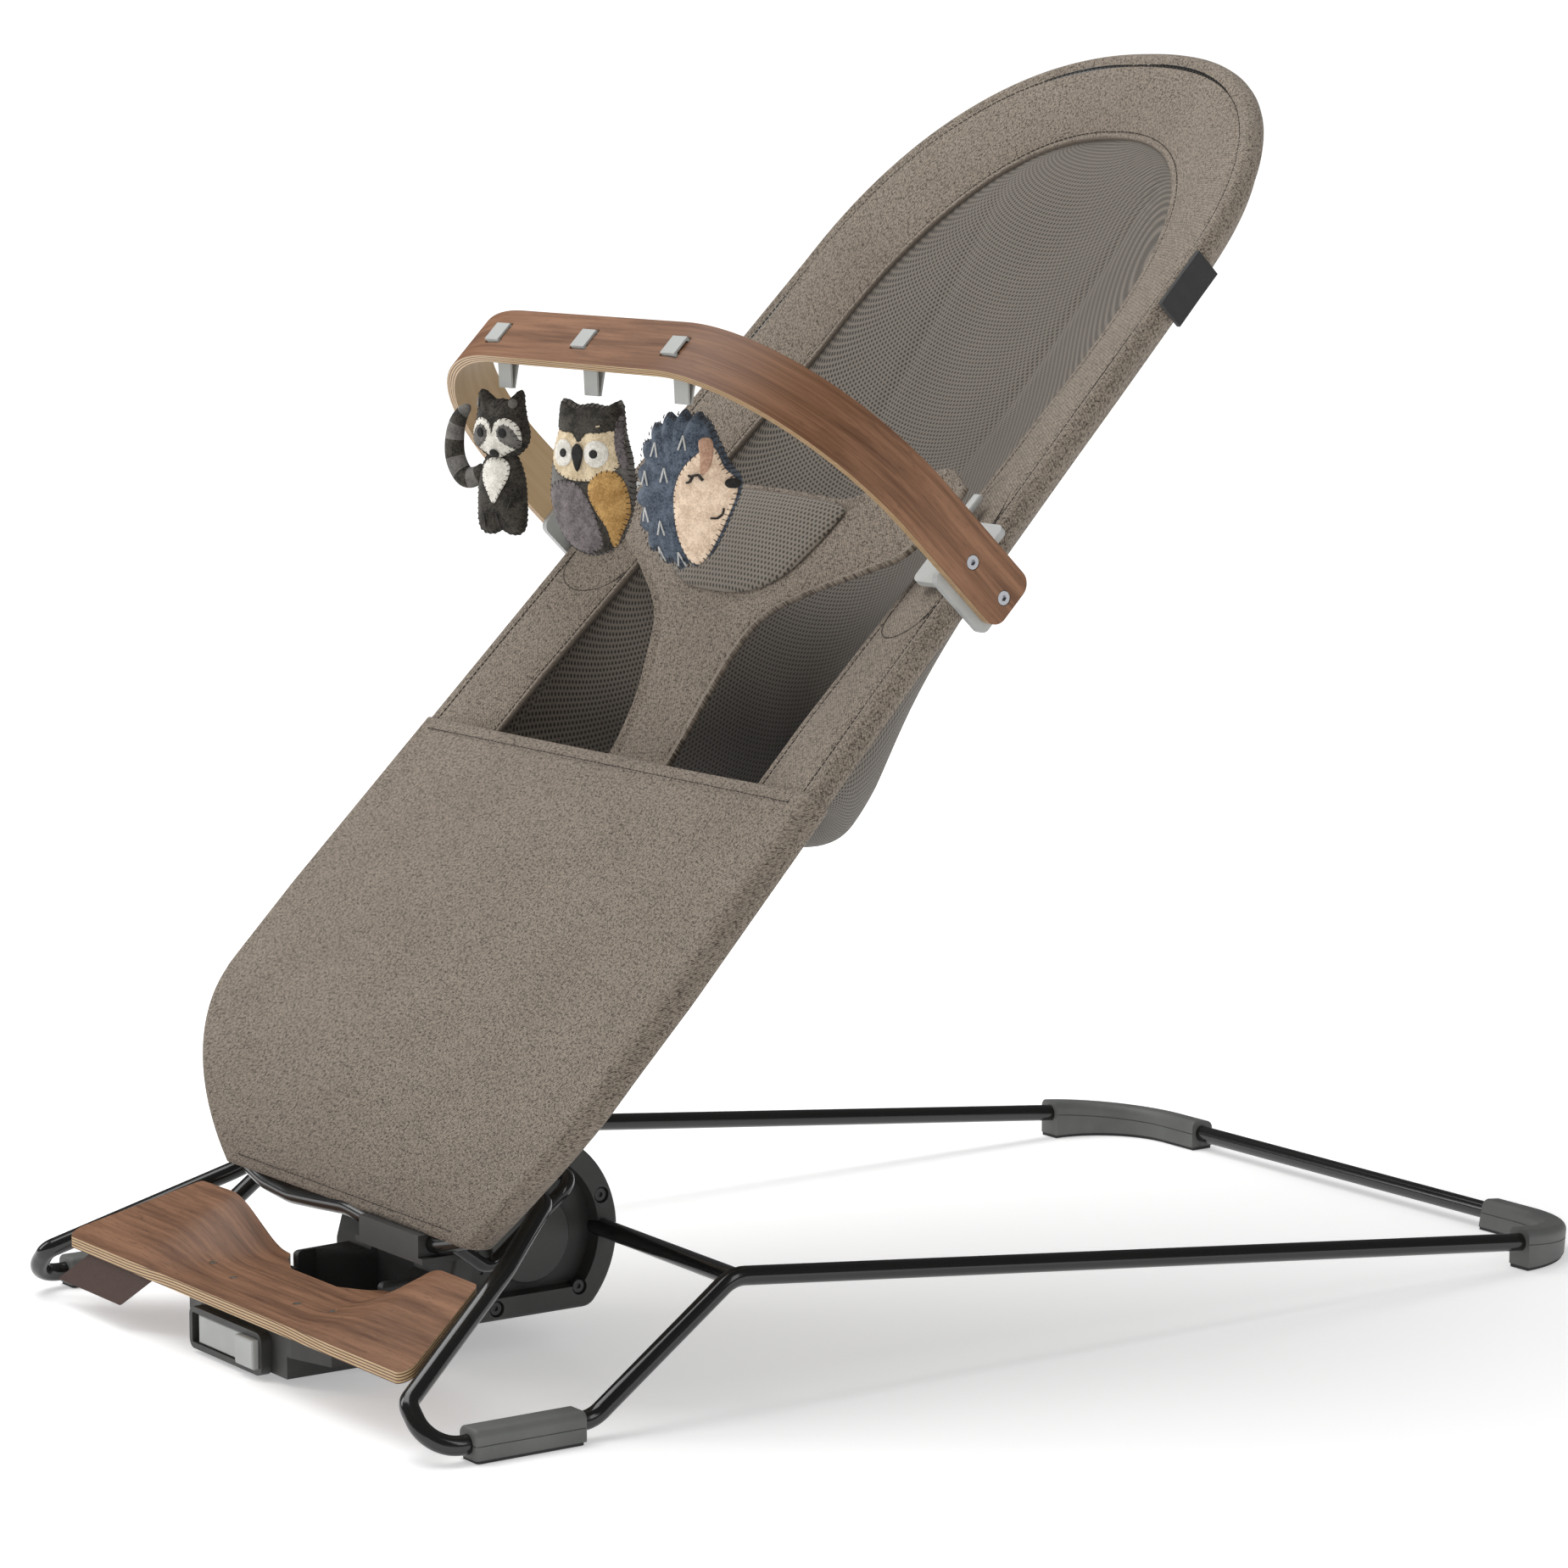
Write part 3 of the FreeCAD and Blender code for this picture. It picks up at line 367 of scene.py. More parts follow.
def toy_bar_wood():
    """depth = corner radius minus the distance from the corner's centre, all round the arch"""
    f = Finish("toy_bar_walnut")
    from_root = f.vector("SUBTRACT", f.place, tuple(seat_root))
    s, n = f.dot(from_root, up_slope), f.dot(from_root, out_slope)
    x = f.parts(f.place)[0]
    past_x = (abs(x) - (bar_half - bar_bend)).most(0.0)
    past_n = (n - (bar_top - bar_bend)).most(0.0)
    depth = bar_bend - (past_x * past_x + past_n * past_n).root()
    edge = f.step(abs(f.dot(f.facing, up_slope)), 0.5, 0.62)
    inner = f.step(depth, 0.0042, 0.0048)
    sign = f.put("ShaderNodeMath", {"operation": "SIGN"}, {0: x})
    along = x - n * f.step(abs(x), 0.06, 0.19) * sign
    return wood_finish(f, depth, bar_t, along, s, edge, inner)


board_wood = footboard_wood()
bar_wood = toy_bar_wood()
print("wood on footboard and toy bar")

# %% [markdown]
# ## Cloth, mesh and felt
# The cover is a heathered twill: light and dark yarns mixed at random under fine diagonal ribs. The
# seat insert is a spacer mesh, which is a hexagonal net with dark openings. Two square lattices, one
# moved by half a cell, give the hexagons. Felt is short fibres with no direction.

# %% Soft finishes
def heather(name, dark, mid, light, rib):
    f = Finish(name)
    u, v, _ = f.parts(f.cloth)
    yarn = f.noise(f.scaled(f.cloth, (1.0, 0.62, 1.0)), 0.0010, 3.0, 0.75)
    fleck = f.noise(f.scaled(f.cloth, (0.7, 1.0, 1.0)), 0.0013, 3.0, 0.75)
    cloud = f.noise(f.cloth, 0.045, 3.0)
    ribs = ((u + v) * (math.tau / rib)).sin()
    slub = f.noise(f.scaled(f.cloth, (1.0, 0.5, 1.0)), 0.0034, 2.0, 0.6)
    tone = f.mix(f.step(yarn + 0.10 * cloud, 0.44, 0.60), mid, light)
    # shade: dark yarn flecks, which are the cloth's own colour, plus painted shade in the troughs of the
    # diagonal ribs
    shade = 0.70 * f.step(fleck + 0.25 * slub, 0.61, 0.74) + 0.22 * f.step(ribs, 0.1, -0.8)
    height = yarn * 0.6 + ribs * 0.25
    return f.paint(f.mix(shade, tone, dark), 0.88 + 0.1 * yarn, height, 0.0004, 0.6, Sheen_Weight=0.08,
                   Sheen_Roughness=0.5, Specular_IOR_Level=0.25)


def spacer_mesh(name, yarn_dark, yarn_light, painted_hole_shade, pitch=0.0030, inside=False):
    """distance to the nearest cell middle of two lattices, half a cell apart, with painted shade in the
    openings; inside: more painted shade with depth
    """
    f = Finish(name)
    u, v, _ = f.parts(f.cloth)
    reach = []
    for shift in (0.0, 0.5):
        a = ((u / pitch + shift) % 1.0) - 0.5
        b = (((v / (pitch * 1.732) + shift) % 1.0) - 0.5) * 1.732
        reach.append((a * a + b * b).root())
    d = reach[0].least(reach[1])
    open_ = f.step(d, 0.36, 0.22)
    fibre = f.noise(f.cloth, 0.0009, 2.0)
    cloud = f.noise(f.cloth, 0.05, 2.0)
    yarn = f.mix(0.5 * fibre + 0.5 * cloud, yarn_dark, yarn_light)
    # painted shade: inside the bag the yarn turns towards the dark hole colour with depth below the slope,
    # less so higher up
    if inside:
        from_root = f.vector("SUBTRACT", f.place, tuple(seat_root))
        depth, up = (f.dot(from_root, way) for way in (-out_slope, up_slope))
        yarn = f.mix(0.72 * f.step(depth - 0.30 * (up - 0.20).most(0.0), 0.018, 0.062), yarn, painted_hole_shade)
    # the openings are painted shade: dark where the holes are, and lower in the relief
    return f.paint(f.mix(0.9 * open_, yarn, painted_hole_shade), 0.75 + 0.2 * open_, 0.4 * fibre - open_, 0.0007, 0.7,
                   Sheen_Weight=0.15)


def felt(name, dark, light):
    f = Finish(name)
    fibre = f.noise(f.place, 0.0011, 4.0, 0.75)
    cloud = f.noise(f.place, 0.006, 3.0)
    return f.paint(f.mix(f.step(0.6 * fibre + 0.4 * cloud, 0.38, 0.62), dark, light), 0.95, fibre, 0.0006,
                   0.6, Sheen_Weight=0.10, Sheen_Roughness=0.6, Specular_IOR_Level=0.2)


def woven(name, dark, light, pitch):
    """ribbed ribbon: fine ribs one way, yarn the other"""
    f = Finish(name)
    x, y, z = f.parts(f.place)
    rib = ((x * (math.tau / pitch)).sin() * ((z - y) * (math.tau / pitch)).sin()) * 0.5 + 0.5
    grain = f.noise(f.place, 0.0008, 2.0)
    return f.paint(f.mix(0.6 * rib + 0.4 * grain, dark, light), 0.7 + 0.2 * grain, rib, 0.0002, 0.5,
                   Sheen_Weight=0.2)


def hide(name, dark, light):
    """leather: small cells with worn tops"""
    f = Finish(name)
    cell = f.put("ShaderNodeTexVoronoi", {"feature": "DISTANCE_TO_EDGE"}, {"Vector": f.place, "Scale": 900.0})
    wear = f.noise(f.place, 0.008, 3.0)
    crease = f.step(cell, 0.0, 0.12)
    return f.paint(f.mix(0.5 * crease + 0.5 * wear, dark, light), 0.55 + 0.2 * wear, crease, 0.0003, 0.4)


twill = heather("taupe_twill", (0.034, 0.026, 0.020), (0.160, 0.130, 0.102), (0.315, 0.264, 0.212), 0.0019)
net = spacer_mesh("taupe_mesh_painted_shade", (0.122, 0.102, 0.080), (0.178, 0.151, 0.122), (0.022, 0.018, 0.014),
                  inside=True)
pouch_net = spacer_mesh("pouch_mesh", (0.120, 0.101, 0.080), (0.170, 0.146, 0.118), (0.020, 0.016, 0.013))
# painted light: the pad's mesh is the same as the others, coloured about a third lighter
pad_net_painted_light = spacer_mesh("pad_mesh_painted_light", (0.165, 0.140, 0.110), (0.235, 0.202, 0.164), (0.034, 0.028, 0.021))
ribbon = woven("grey_ribbon", (0.32, 0.33, 0.32), (0.48, 0.49, 0.47), 0.0011)
label_cloth = woven("blank_label", (0.010, 0.010, 0.010), (0.022, 0.022, 0.022), 0.0009)
tag_leather = hide("brown_leather", (0.030, 0.013, 0.009), (0.078, 0.036, 0.025))
thread = felt("dark_thread", (0.020, 0.017, 0.014), (0.045, 0.038, 0.032))
print("soft finishes ready, materials", len(bpy.data.materials))

# %% [markdown]
# ## Dress the hard parts
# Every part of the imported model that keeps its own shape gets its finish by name.

# %% Assign finishes
def dress(material, *names):
    for name in names:
        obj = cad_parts[name]
        obj.data.materials.clear()
        obj.data.materials.append(material)


def pair(*stems):
    return [stem + side for stem in stems for side in ("_left", "_right")]


dress(steel, "rear_bar", "front_bar", "hoop_upper", "hoop_lower", *pair("rail", "leg", "stub", "seat_loop"))
dress(foot_rubber, *pair("front_foot", "rear_foot"))
dress(sole_rubber, *pair("front_sole", "rear_sole"))
dress(hub_plastic, "hub_housing", "hub_base_plate", "saddle", "lock_surround", "bracket",
      *pair("hub_cover", "knuckle"))
dress(cap_plastic, *pair("pivot_cap"))
dress(well_plastic, "well_ring")
dress(pale_plastic, "lock_slider", "belt_toggles", *pair("bar_clip"))
dress(nylon, "pivot_bushes")
dress(zinc, "bar_screws", "lock_rod", "board_screws")
dress(dark_screw, "hub_screws", "bracket_screws")
dress(board_wood, "footboard")
dress(bar_wood, "toy_bar")
dress(tag_leather, "leather_tag")
dress(ribbon, "strap_loops", "raccoon_strap", "owl_strap", "hedgehog_strap")
dress(label_cloth, "side_label")
print("dressed", len(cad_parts), "nodes less the soft ones")

# %% [markdown]
# ## Surfaces from arrays
# Each soft piece is a grid of points, worked out as whole arrays and handed to the mesh in one go.
# `quads` numbers the grid's cells and can join its last column to the first, `two_layers` closes an
# open sheet with a second layer, and `piece` makes the object. The cut's own lengths go into the UV
# map, so that a weave keeps its size wherever the cloth goes.

# %% Grid to mesh
def unit(value):
    """the value held between 0 and 1"""
    return np.clip(value, 0, 1)


def bell(value, middle, reach):
    """exp(-((value - middle) / reach)^2)"""
    return np.exp(-((value - middle) / reach) ** 2)


def quads(rows, cols, round_cols=False, first=0):
    """corner numbers of every cell of a grid, as one array"""
    r = np.arange(rows - 1)[:, None] * cols
    c = np.arange(cols if round_cols else cols - 1)[None, :]
    c2 = (c + 1) % cols
    return first + np.stack([r + c, r + c2, r + cols + c2, r + cols + c], -1).reshape(-1, 4)


def piece(name, points, faces, cloth, material, rides, stands_for=(), marks=None):
    """mesh object from arrays, faces turned outwards by the sign of its volume"""
    points = np.asarray(points, float).reshape(-1, 3)
    p = points[faces]
    volume = np.einsum("ij,ij->i", p[:, 0], np.cross(p[:, 1], p[:, 2])).sum()
    volume += np.einsum("ij,ij->i", p[:, 0], np.cross(p[:, 2], p[:, 3])).sum()
    if volume < 0:
        faces = faces[:, ::-1]
    mesh = bpy.data.meshes.new(name)
    mesh.vertices.add(len(points))
    mesh.vertices.foreach_set("co", points.ravel())
    mesh.loops.add(faces.size)
    mesh.loops.foreach_set("vertex_index", faces.ravel().astype(np.int32))
    mesh.polygons.add(len(faces))
    mesh.polygons.foreach_set("loop_start", np.arange(0, faces.size, 4, dtype=np.int32))
    mesh.polygons.foreach_set("use_smooth", np.ones(len(faces), bool))
    if isinstance(material, (list, tuple)):
        for one in material:
            mesh.materials.append(one)
        mesh.polygons.foreach_set("material_index", np.asarray(marks, np.int32))
    else:
        mesh.materials.append(material)
    mesh.update(calc_edges=True)
    layer = mesh.uv_layers.new(name="cloth")
    layer.data.foreach_set("uv", np.asarray(cloth, float).reshape(-1, 2)[faces.ravel()].ravel())
    shell = bmesh.new()
    shell.from_mesh(mesh)
    bmesh.ops.remove_doubles(shell, verts=shell.verts, dist=1e-6)
    shell.to_mesh(mesh)
    shell.free()
    mesh.validate()
    obj = bpy.data.objects.new(name, mesh)
    bpy.context.scene.collection.objects.link(obj)
    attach(obj, rides)
    if stands_for:
        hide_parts(*stands_for)
    print(name, len(faces), "quads")
    return obj


def lengths(points, axis):
    """running length along one axis of a grid"""
    step = np.linalg.norm(np.diff(points, axis=axis), axis=-1)
    zero = np.zeros_like(np.take(step, [0], axis=axis))
    return np.concatenate([zero, np.cumsum(step, axis=axis)], axis=axis)


def two_layers(front, back):
    """closed piece from two grids with the same edges: front, back and a strip of faces round the rim"""
    rows, cols = front.shape[:2]
    count = rows * cols
    top = quads(rows, cols)
    low = quads(rows, cols, first=count)[:, ::-1]
    ring = np.concatenate([np.arange(cols), np.arange(1, rows) * cols + cols - 1,
                           (rows - 1) * cols + np.arange(cols - 2, -1, -1),
                           np.arange(rows - 2, 0, -1) * cols])
    after = np.roll(ring, -1)
    rim = np.stack([after, ring, ring + count, after + count], -1)
    return np.concatenate([front.reshape(-1, 3), back.reshape(-1, 3)]), np.concatenate([top, low, rim])


def ruffle(u, v, seed, waves=7, coarse=1.0):
    """gentle unevenness from -1 to 1: a sum of sine waves with random directions"""
    draw = np.random.default_rng(seed)
    total = 0.0
    for _ in range(waves):
        angle, phase = draw.uniform(0, math.tau, 2)
        rate = coarse * draw.uniform(25.0, 95.0)
        total = total + np.sin(rate * (u * math.cos(angle) + v * math.sin(angle)) + phase)
    return total / waves


print("ready for cloth")

# %% [markdown]
# ## The slope of the seat
# All the cloth lies on or hangs from one surface: a flat slope of a little under 46 degrees that
# turns down at the foot end on a round bend. `slope` turns three lengths into a place: x across, s
# up the slope and n out of its front. `half_width` is the outline of the hoop.

# %% Seat surface
bend_s, bend_r, head_s, brow_s, brow_pow = -0.0186, 0.153, 0.680, 0.513, 2.3
wide, taper = 0.1991, 0.0494
widest, low_wide, low_drop, low_from, low_run, low_pow = 0.1975, 0.197, 0.0755, -0.0295, 0.1017, 1.75


def slope(x, s, n):
    """straight part: root + s up + n out; bend: an arc of radius bend_r + n about a fixed centre"""
    x, s, n = np.broadcast_arrays(*[np.asarray(a, float) for a in (x, s, n)])
    y0, z0 = seat_root.y, seat_root.z
    cs, sn = math.cos(lean), math.sin(lean)
    cy, cz = y0 + bend_s * cs + bend_r * sn, z0 + bend_s * sn - bend_r * cs
    a = math.pi + lean + (bend_s - np.minimum(s, bend_s)) / bend_r
    flat = s >= bend_s
    y = np.where(flat, y0 + s * cs - n * sn, cy + (bend_r + n) * np.sin(a))
    z = np.where(flat, z0 + s * sn + n * cs, cz - (bend_r + n) * np.cos(a))
    return np.stack([x, y, z], -1)


def half_width(s, trim=0.0):
    """straight taper, a superellipse at the head and a power curve below the bend"""
    s = np.asarray(s, float)
    w = np.minimum(wide - taper * s, widest)
    a, b = wide - taper * brow_s - trim, head_s - brow_s - trim
    head = a * unit(1 - (np.maximum(s - brow_s, 0) / b) ** brow_pow) ** (1 / brow_pow)
    low = low_wide - low_drop * (np.maximum(low_from - s, 0) / low_run) ** low_pow
    return np.where(s > brow_s, head, np.where(s < low_from, low, w) - trim)


print("slope at the head", [round(float(v), 3) for v in slope(0, head_s, 0)])

# %% [markdown]
# ## Padded border
# A sleeve of twill runs round the hoop. Its outer edge wraps the tube, its face slopes down to the
# mesh, and two seams are sewn along it. It is made as a closed cross-section carried along the
# outline, because a sleeve is exactly that: `across` is the distance in from the outer edge.

# %% Border
window_wide, window_taper, crown_half, crown_rise, crown_s = 0.1330, 0.030, 0.1189, 0.156, 0.470
border_edge, border_puff, wrap = 0.0070, 0.0022, 0.0090
outer_seam, seam_wide = 0.0115, 0.0011


def arch_line(count, a, b, s_low, s_turn):
    """half outline from the bottom up to the crown: a line, then a quarter superellipse"""
    straight = np.linspace(s_low, s_turn, count)[:-1]
    t = np.linspace(0, math.pi / 2, count)
    x = a * np.cos(t) ** (2 / brow_pow)
    s = s_turn + b * np.sin(t) ** (2 / brow_pow)
    return straight, x, s


def outline(count, s_low, trim=0.0):
    """outer edge, right side then left, as x and s"""
    straight, x, s = arch_line(count, wide - taper * brow_s - trim, head_s - brow_s - trim, s_low, brow_s)
    xs = np.concatenate([wide - taper * straight - trim, x])
    ss = np.concatenate([straight, s])
    return np.concatenate([xs, -xs[-2::-1]]), np.concatenate([ss, ss[-2::-1]])


def rim_depth(s):
    """n of the window's edge: nearly level at the hips, further back behind the baby's back"""
    return -0.0015 - 0.0085 * unit((s - 0.20) / 0.25)


def border_face(f, rim):
    """height of the border's face at share f of the way in from its outer edge"""
    return border_edge * (1 - f) + rim * f + border_puff * np.sin(np.pi * unit(f)) ** 0.8


def window(count, s_low):
    """inner edge of the border and how far back it lies"""
    straight, x, s = arch_line(count, crown_half, crown_rise, s_low, crown_s)
    xs = np.concatenate([window_wide - window_taper * straight, x])
    ss = np.concatenate([straight, s])
    n = rim_depth(ss)
    back_down = slice(-2, None, -1)
    return [np.concatenate([right, left[back_down]]) for right, left in ((xs, -xs), (ss, ss), (n, n))]


count = 120
outer_x, outer_s = outline(count, 0.140)
window_x, window_s, window_n = window(count, 0.140)
span = np.hypot(outer_x - window_x, outer_s - window_s)
band = np.linspace(0, 1, 26) ** 0.9
front_d = wrap + (span[:, None] - wrap) * band[None, :]
u = front_d / span[:, None]
front_n = border_face(u, window_n[:, None])
along_len = lengths(np.stack([outer_x, outer_s], -1)[:, None, :], 0)[:, :1]
front_n += 0.0006 * ruffle(along_len, front_d, 3) * np.sin(np.pi * u)
from_rim = span[:, None] - front_d
front_n -= 0.0009 * (bell(front_d, outer_seam, seam_wide) + bell(from_rim, 0.0035, seam_wide))
front_n += 0.0008 * bell(from_rim, 0, 0.0022)
thick = 0.0030 + 0.0138 * np.exp(-((front_d - wrap) / 0.016) ** 4)
back_n = front_n - thick
arc = np.linspace(math.pi / 2, 3 * math.pi / 2, 12)[1:-1][None, :]
ring_d = wrap + 0.0088 * np.cos(arc) * np.ones((len(outer_x), 1))
ring_n = 0.0074 * np.sin(arc) * np.ones((len(outer_x), 1))
d = np.concatenate([front_d[:, ::-1], ring_d, front_d], 1)
n = np.concatenate([front_n[:, ::-1], ring_n, back_n], 1)
f = d / span[:, None]
x = outer_x[:, None] * (1 - f) + window_x[:, None] * f
s = outer_s[:, None] * (1 - f) + window_s[:, None] * f
grid = slope(x, s, n)
rows, cols = grid.shape[:2]
cloth = np.stack([np.broadcast_to(along_len, d.shape), lengths(grid, 1)], -1)
faces = quads(rows, cols, round_cols=True)
border = piece("border_cover", grid, faces, cloth, twill, "seat", ["border"])

# %% [markdown]
# ## Leg cover
# The lower panel is a sleeve that is drawn over both sides of the hoop, down the slope and round the
# bend to its hem. Pulled tight it is nearly flat, with soft drags at the sides. Two closed loops, one
# inside the other, give it a real opening at the top, which is the pocket's edge.

# %% Leg cover
turn = np.linspace(0, math.tau, 161)[:-1]
turn = turn - 0.21 * np.sin(2 * turn)
levels = np.concatenate([np.linspace(-0.1255, -0.03, 40), np.linspace(-0.03, 0.155, 50)[1:]])


def sleeve(levels, grow, thick):
    w = half_width(levels)[:, None] + grow
    cosine = np.cos(turn)[None, :]
    side = np.sign(cosine)
    across = np.abs(cosine) ** 0.55
    x = side * (w - thick) * np.minimum(across * 1.03, 1.0)
    ends = unit((across - 0.97) / 0.03)
    x = x + side * thick * np.sin(ends * math.pi / 2)
    n = np.sign(np.sin(turn))[None, :] * thick * np.cos(ends * math.pi / 2)
    return x, n


def cover_layer(levels, grow, thick, seed):
    x, n = sleeve(levels, grow, thick)
    s = np.broadcast_to(levels[:, None], x.shape)
    w = half_width(levels)[:, None]
    inner = unit(1 - (np.abs(x) / w) ** 4)
    drag = ruffle(x * 0.55, s * 0.30, seed, coarse=0.8)
    fold = np.sin(s * 30 - np.abs(x) * 65) * unit((np.abs(x) / w - 0.55) * 2) * bell(s, -0.05, 0.05)
    n = n + np.sign(n) * inner * (0.0011 * drag - 0.0012) + 0.0010 * fold * inner
    return slope(x, s, n)


outer = cover_layer(levels, 0.0014, 0.0086, 5)
hem_levels = np.array([0.1556, 0.1552, 0.148, 0.138, 0.128])
inner_layer = cover_layer(hem_levels[2:], -0.0004, 0.0066, 5)
lip = cover_layer(hem_levels[:2], 0.0006, 0.0077, 5)
grid = np.concatenate([outer, lip[:1], inner_layer])
floor_row = slope(sleeve(np.array([0.127]), -0.0004, 0.0006)[0], 0.127, 0.0)
hem_x, hem_n = sleeve(np.array([-0.1262]), -0.004, 0.0004)
hem_row = slope(hem_x, -0.1262, hem_n)
grid = np.concatenate([hem_row, grid, floor_row])
rows, cols = grid.shape[:2]
cloth = np.stack([lengths(grid, 1), lengths(grid, 0)], -1)
faces = quads(rows, cols, round_cols=True)
cover = piece("leg_sleeve", grid, faces, cloth, twill, "seat", ["leg_cover"])

# %% [markdown]
# ## Mesh seat
# The baby sits in a bag of spacer mesh. From outside it is a deep pouch that starts at the hoop, and
# from inside a liner starts at the border's inner edge. Both are the same kind of surface: across, a
# superellipse that drops quickly at the sides, and along, a quick fall at the pocket and a slow rise
# to the head.

# %% Pouch and liner
bag_low, bag_high, belly, bag_deep, back_deep = 0.157, 0.671, 0.180, 0.072, 0.043
bag_level = -0.0078


def bag_depth(s):
    """depth on the centre line: a root of a sine up to the hips, a cosine and a bell after them"""
    t = unit((s - bag_low) / (belly - bag_low))
    r = unit((s - belly) / (bag_high - belly))
    behind_back = back_deep * np.cos(math.pi / 2 * r)
    hips = (bag_deep - back_deep) * bell(s, belly, 0.065)
    return np.where(s < belly, bag_deep * np.sin(math.pi / 2 * t) ** 0.24, behind_back + hips)


def superellipse(ratio, power):
    return unit(1 - np.abs(ratio) ** power) ** (1 / power)


def trough(ratio, s):
    """share of the depth across: 1 - ratio to a power that falls from 3.6 at the hips to 2 above"""
    return 1 - np.abs(ratio) ** (3.6 - 1.6 * unit((s - 0.20) / 0.13))


def head_rows(count, s_low, s_turn, s_top):
    """rows that crowd towards the crown, where the outline closes"""
    t = np.linspace(0, math.pi / 2 * 0.985, count)
    return np.concatenate([np.linspace(s_low, s_turn, count * 2)[:-1],
                           s_turn + (s_top - s_turn) * np.sin(t) ** (2 / brow_pow)])


def cut_area(points, faces):
    """half the area of a thin closed piece, which is the cloth it takes"""
    p = points[faces]
    cross = np.linalg.norm(np.cross(p[:, 1] - p[:, 0], p[:, 2] - p[:, 0]), axis=1)
    cross += np.linalg.norm(np.cross(p[:, 2] - p[:, 0], p[:, 3] - p[:, 0]), axis=1)
    return float(cross.sum() / 4)


def hang(name, x, s, n, thick, material, stands_for=()):
    """a sheet of mesh on the slope and the cloth it takes; its back layer is a little narrower"""
    front = slope(x, s, n)
    points, faces = two_layers(front, slope(x * 0.998, s, n - thick))
    cloth = np.stack([lengths(front, 1), lengths(front, 0)], -1).reshape(-1, 2)
    sheet = piece(name, points, faces, np.concatenate([cloth, cloth]), material, "seat", stands_for)
    return sheet, cut_area(points, faces)


ratio = np.sin(np.linspace(-math.pi / 2, math.pi / 2, 97))[None, :]
front_wall = bag_low + (belly - bag_low) * np.linspace(0, 1, 18)[:-1] ** 2.4
rows_s = np.concatenate([front_wall, head_rows(40, belly, brow_s, bag_high)])[:, None]
width = half_width(rows_s, 0.0050)
x = ratio * width
n = bag_level - bag_depth(rows_s) * trough(ratio, rows_s) + 0.0010 * ruffle(x, rows_s, 11)
n = n + 0.0040 * np.abs(ratio) ** 40
pouch, pouch_area = hang("mesh_pouch", x, rows_s, n, 0.0018, pouch_net, ["sling"])
print("pouch cloth", round(pouch_area, 3), "square metres")

# the liner, inside the window of the border
turn_s, top_s = crown_s, 0.6275
rows_s = np.concatenate([[0.150], front_wall, head_rows(44, belly, turn_s, top_s)])[:, None]
rise = unit((rows_s - turn_s) / (top_s - turn_s))
crown = 0.1205 * (1 - rise ** brow_pow) ** (1 / brow_pow)
width = np.where(rows_s > turn_s, crown, window_wide + 0.0016 - window_taper * rows_s)
x = ratio * width
rim_n = rim_depth(rows_s) - 0.0012
mid_n = bag_level - bag_depth(rows_s) + 0.0055
mid_n = np.minimum(rim_n + (mid_n - rim_n) * (1 - rise ** 5), rim_n)
at_hips, round_share = unit((0.30 - rows_s) / 0.12), superellipse(ratio, 2.0)
share = round_share * at_hips + (1 - np.abs(ratio) ** 2.3) * (1 - at_hips)
n = rim_n + (mid_n - rim_n) * share
n = n + 0.0016 * ruffle(x * 0.8, rows_s * 0.6, 13) * round_share
crease = bell(np.abs(x) - 0.045, 0.10 * (rows_s - 0.35), 0.005) * unit((rows_s - 0.34) * 8)
n = n - 0.0015 * crease * (1 - rise ** 2)
liner, liner_area = hang("mesh_liner", x, rows_s, n, 0.0020, net)
print("liner cloth", round(liner_area, 3), "square metres")

# %% [markdown]
# ## Harness
# A T of twill comes up out of the pocket between the legs and reaches to both sides under the toy
# bar. It narrows, then flares, and its upper corners are drawn to the toggles. It is a grid whose
# rows bend more and more towards the top edge, with a rolled binding along its rim.

# %% Harness
rise = np.linspace(0, 1, 71)
knots = np.array([0, 0.16, 0.32, 0.47, 0.60, 0.74, 0.86, 1.0])


def along_knots(values, at):
    """smooth curve through values at the knots: cubic pieces with averaged slopes"""
    values = np.asarray(values, float)
    m = np.gradient(values, knots)
    k = np.clip(np.searchsorted(knots, at, side="right") - 1, 0, len(knots) - 2)
    h = knots[k + 1] - knots[k]
    t = (at - knots[k]) / h
    return ((2 * t ** 3 - 3 * t ** 2 + 1) * values[k] + (t ** 3 - 2 * t ** 2 + t) * h * m[k]
            + (3 * t ** 2 - 2 * t ** 3) * values[k + 1] + (t ** 3 - t ** 2) * h * m[k + 1])


edge_x = along_knots([0.029, 0.029, 0.0345, 0.049, 0.081, 0.119, 0.138, 0.141], rise)[:, None]
edge_s = along_knots([0.142, 0.180, 0.214, 0.249, 0.271, 0.292, 0.315, 0.352], rise)[:, None]
mid_s = along_knots([0.142, 0.179, 0.211, 0.240, 0.263, 0.286, 0.306, 0.326], rise)[:, None]
even = np.linspace(-1, 1, 81)
a = (np.sin(np.linspace(-math.pi / 2, math.pi / 2, 81)) * 0.35 + even * 0.65)[None, :]
x = a * edge_x
harness_top, corner_lift = 0.326, 0.026
climb = unit((np.abs(a) - 0.45) / 0.35)
top = harness_top + corner_lift * climb ** 2 * (3 - 2 * climb)
top = top + 0.010 * bell(np.abs(a), 0.86, 0.09)
s = mid_s + (edge_s - mid_s) * np.abs(a) ** 2.2
s = s + (top - (harness_top + corner_lift * np.abs(a) ** 2.2)) * (rise[:, None] ** 3)


def harness_height(x, s):
    """n on the centre line rises through the knots; towards the sides it settles on the border"""
    t = unit((s - 0.155) / 0.173)
    mid = -0.013 + 0.041 * (0.35 * t + 0.65 * t * t * (3 - 2 * t))
    u = unit(np.abs(x) / 0.128)
    side = 0.0115 + 0.002 * np.sin(unit((s - 0.28) / 0.08) * math.pi)
    return mid + (side - mid) * u ** 2 * unit((s - 0.185) / 0.10)


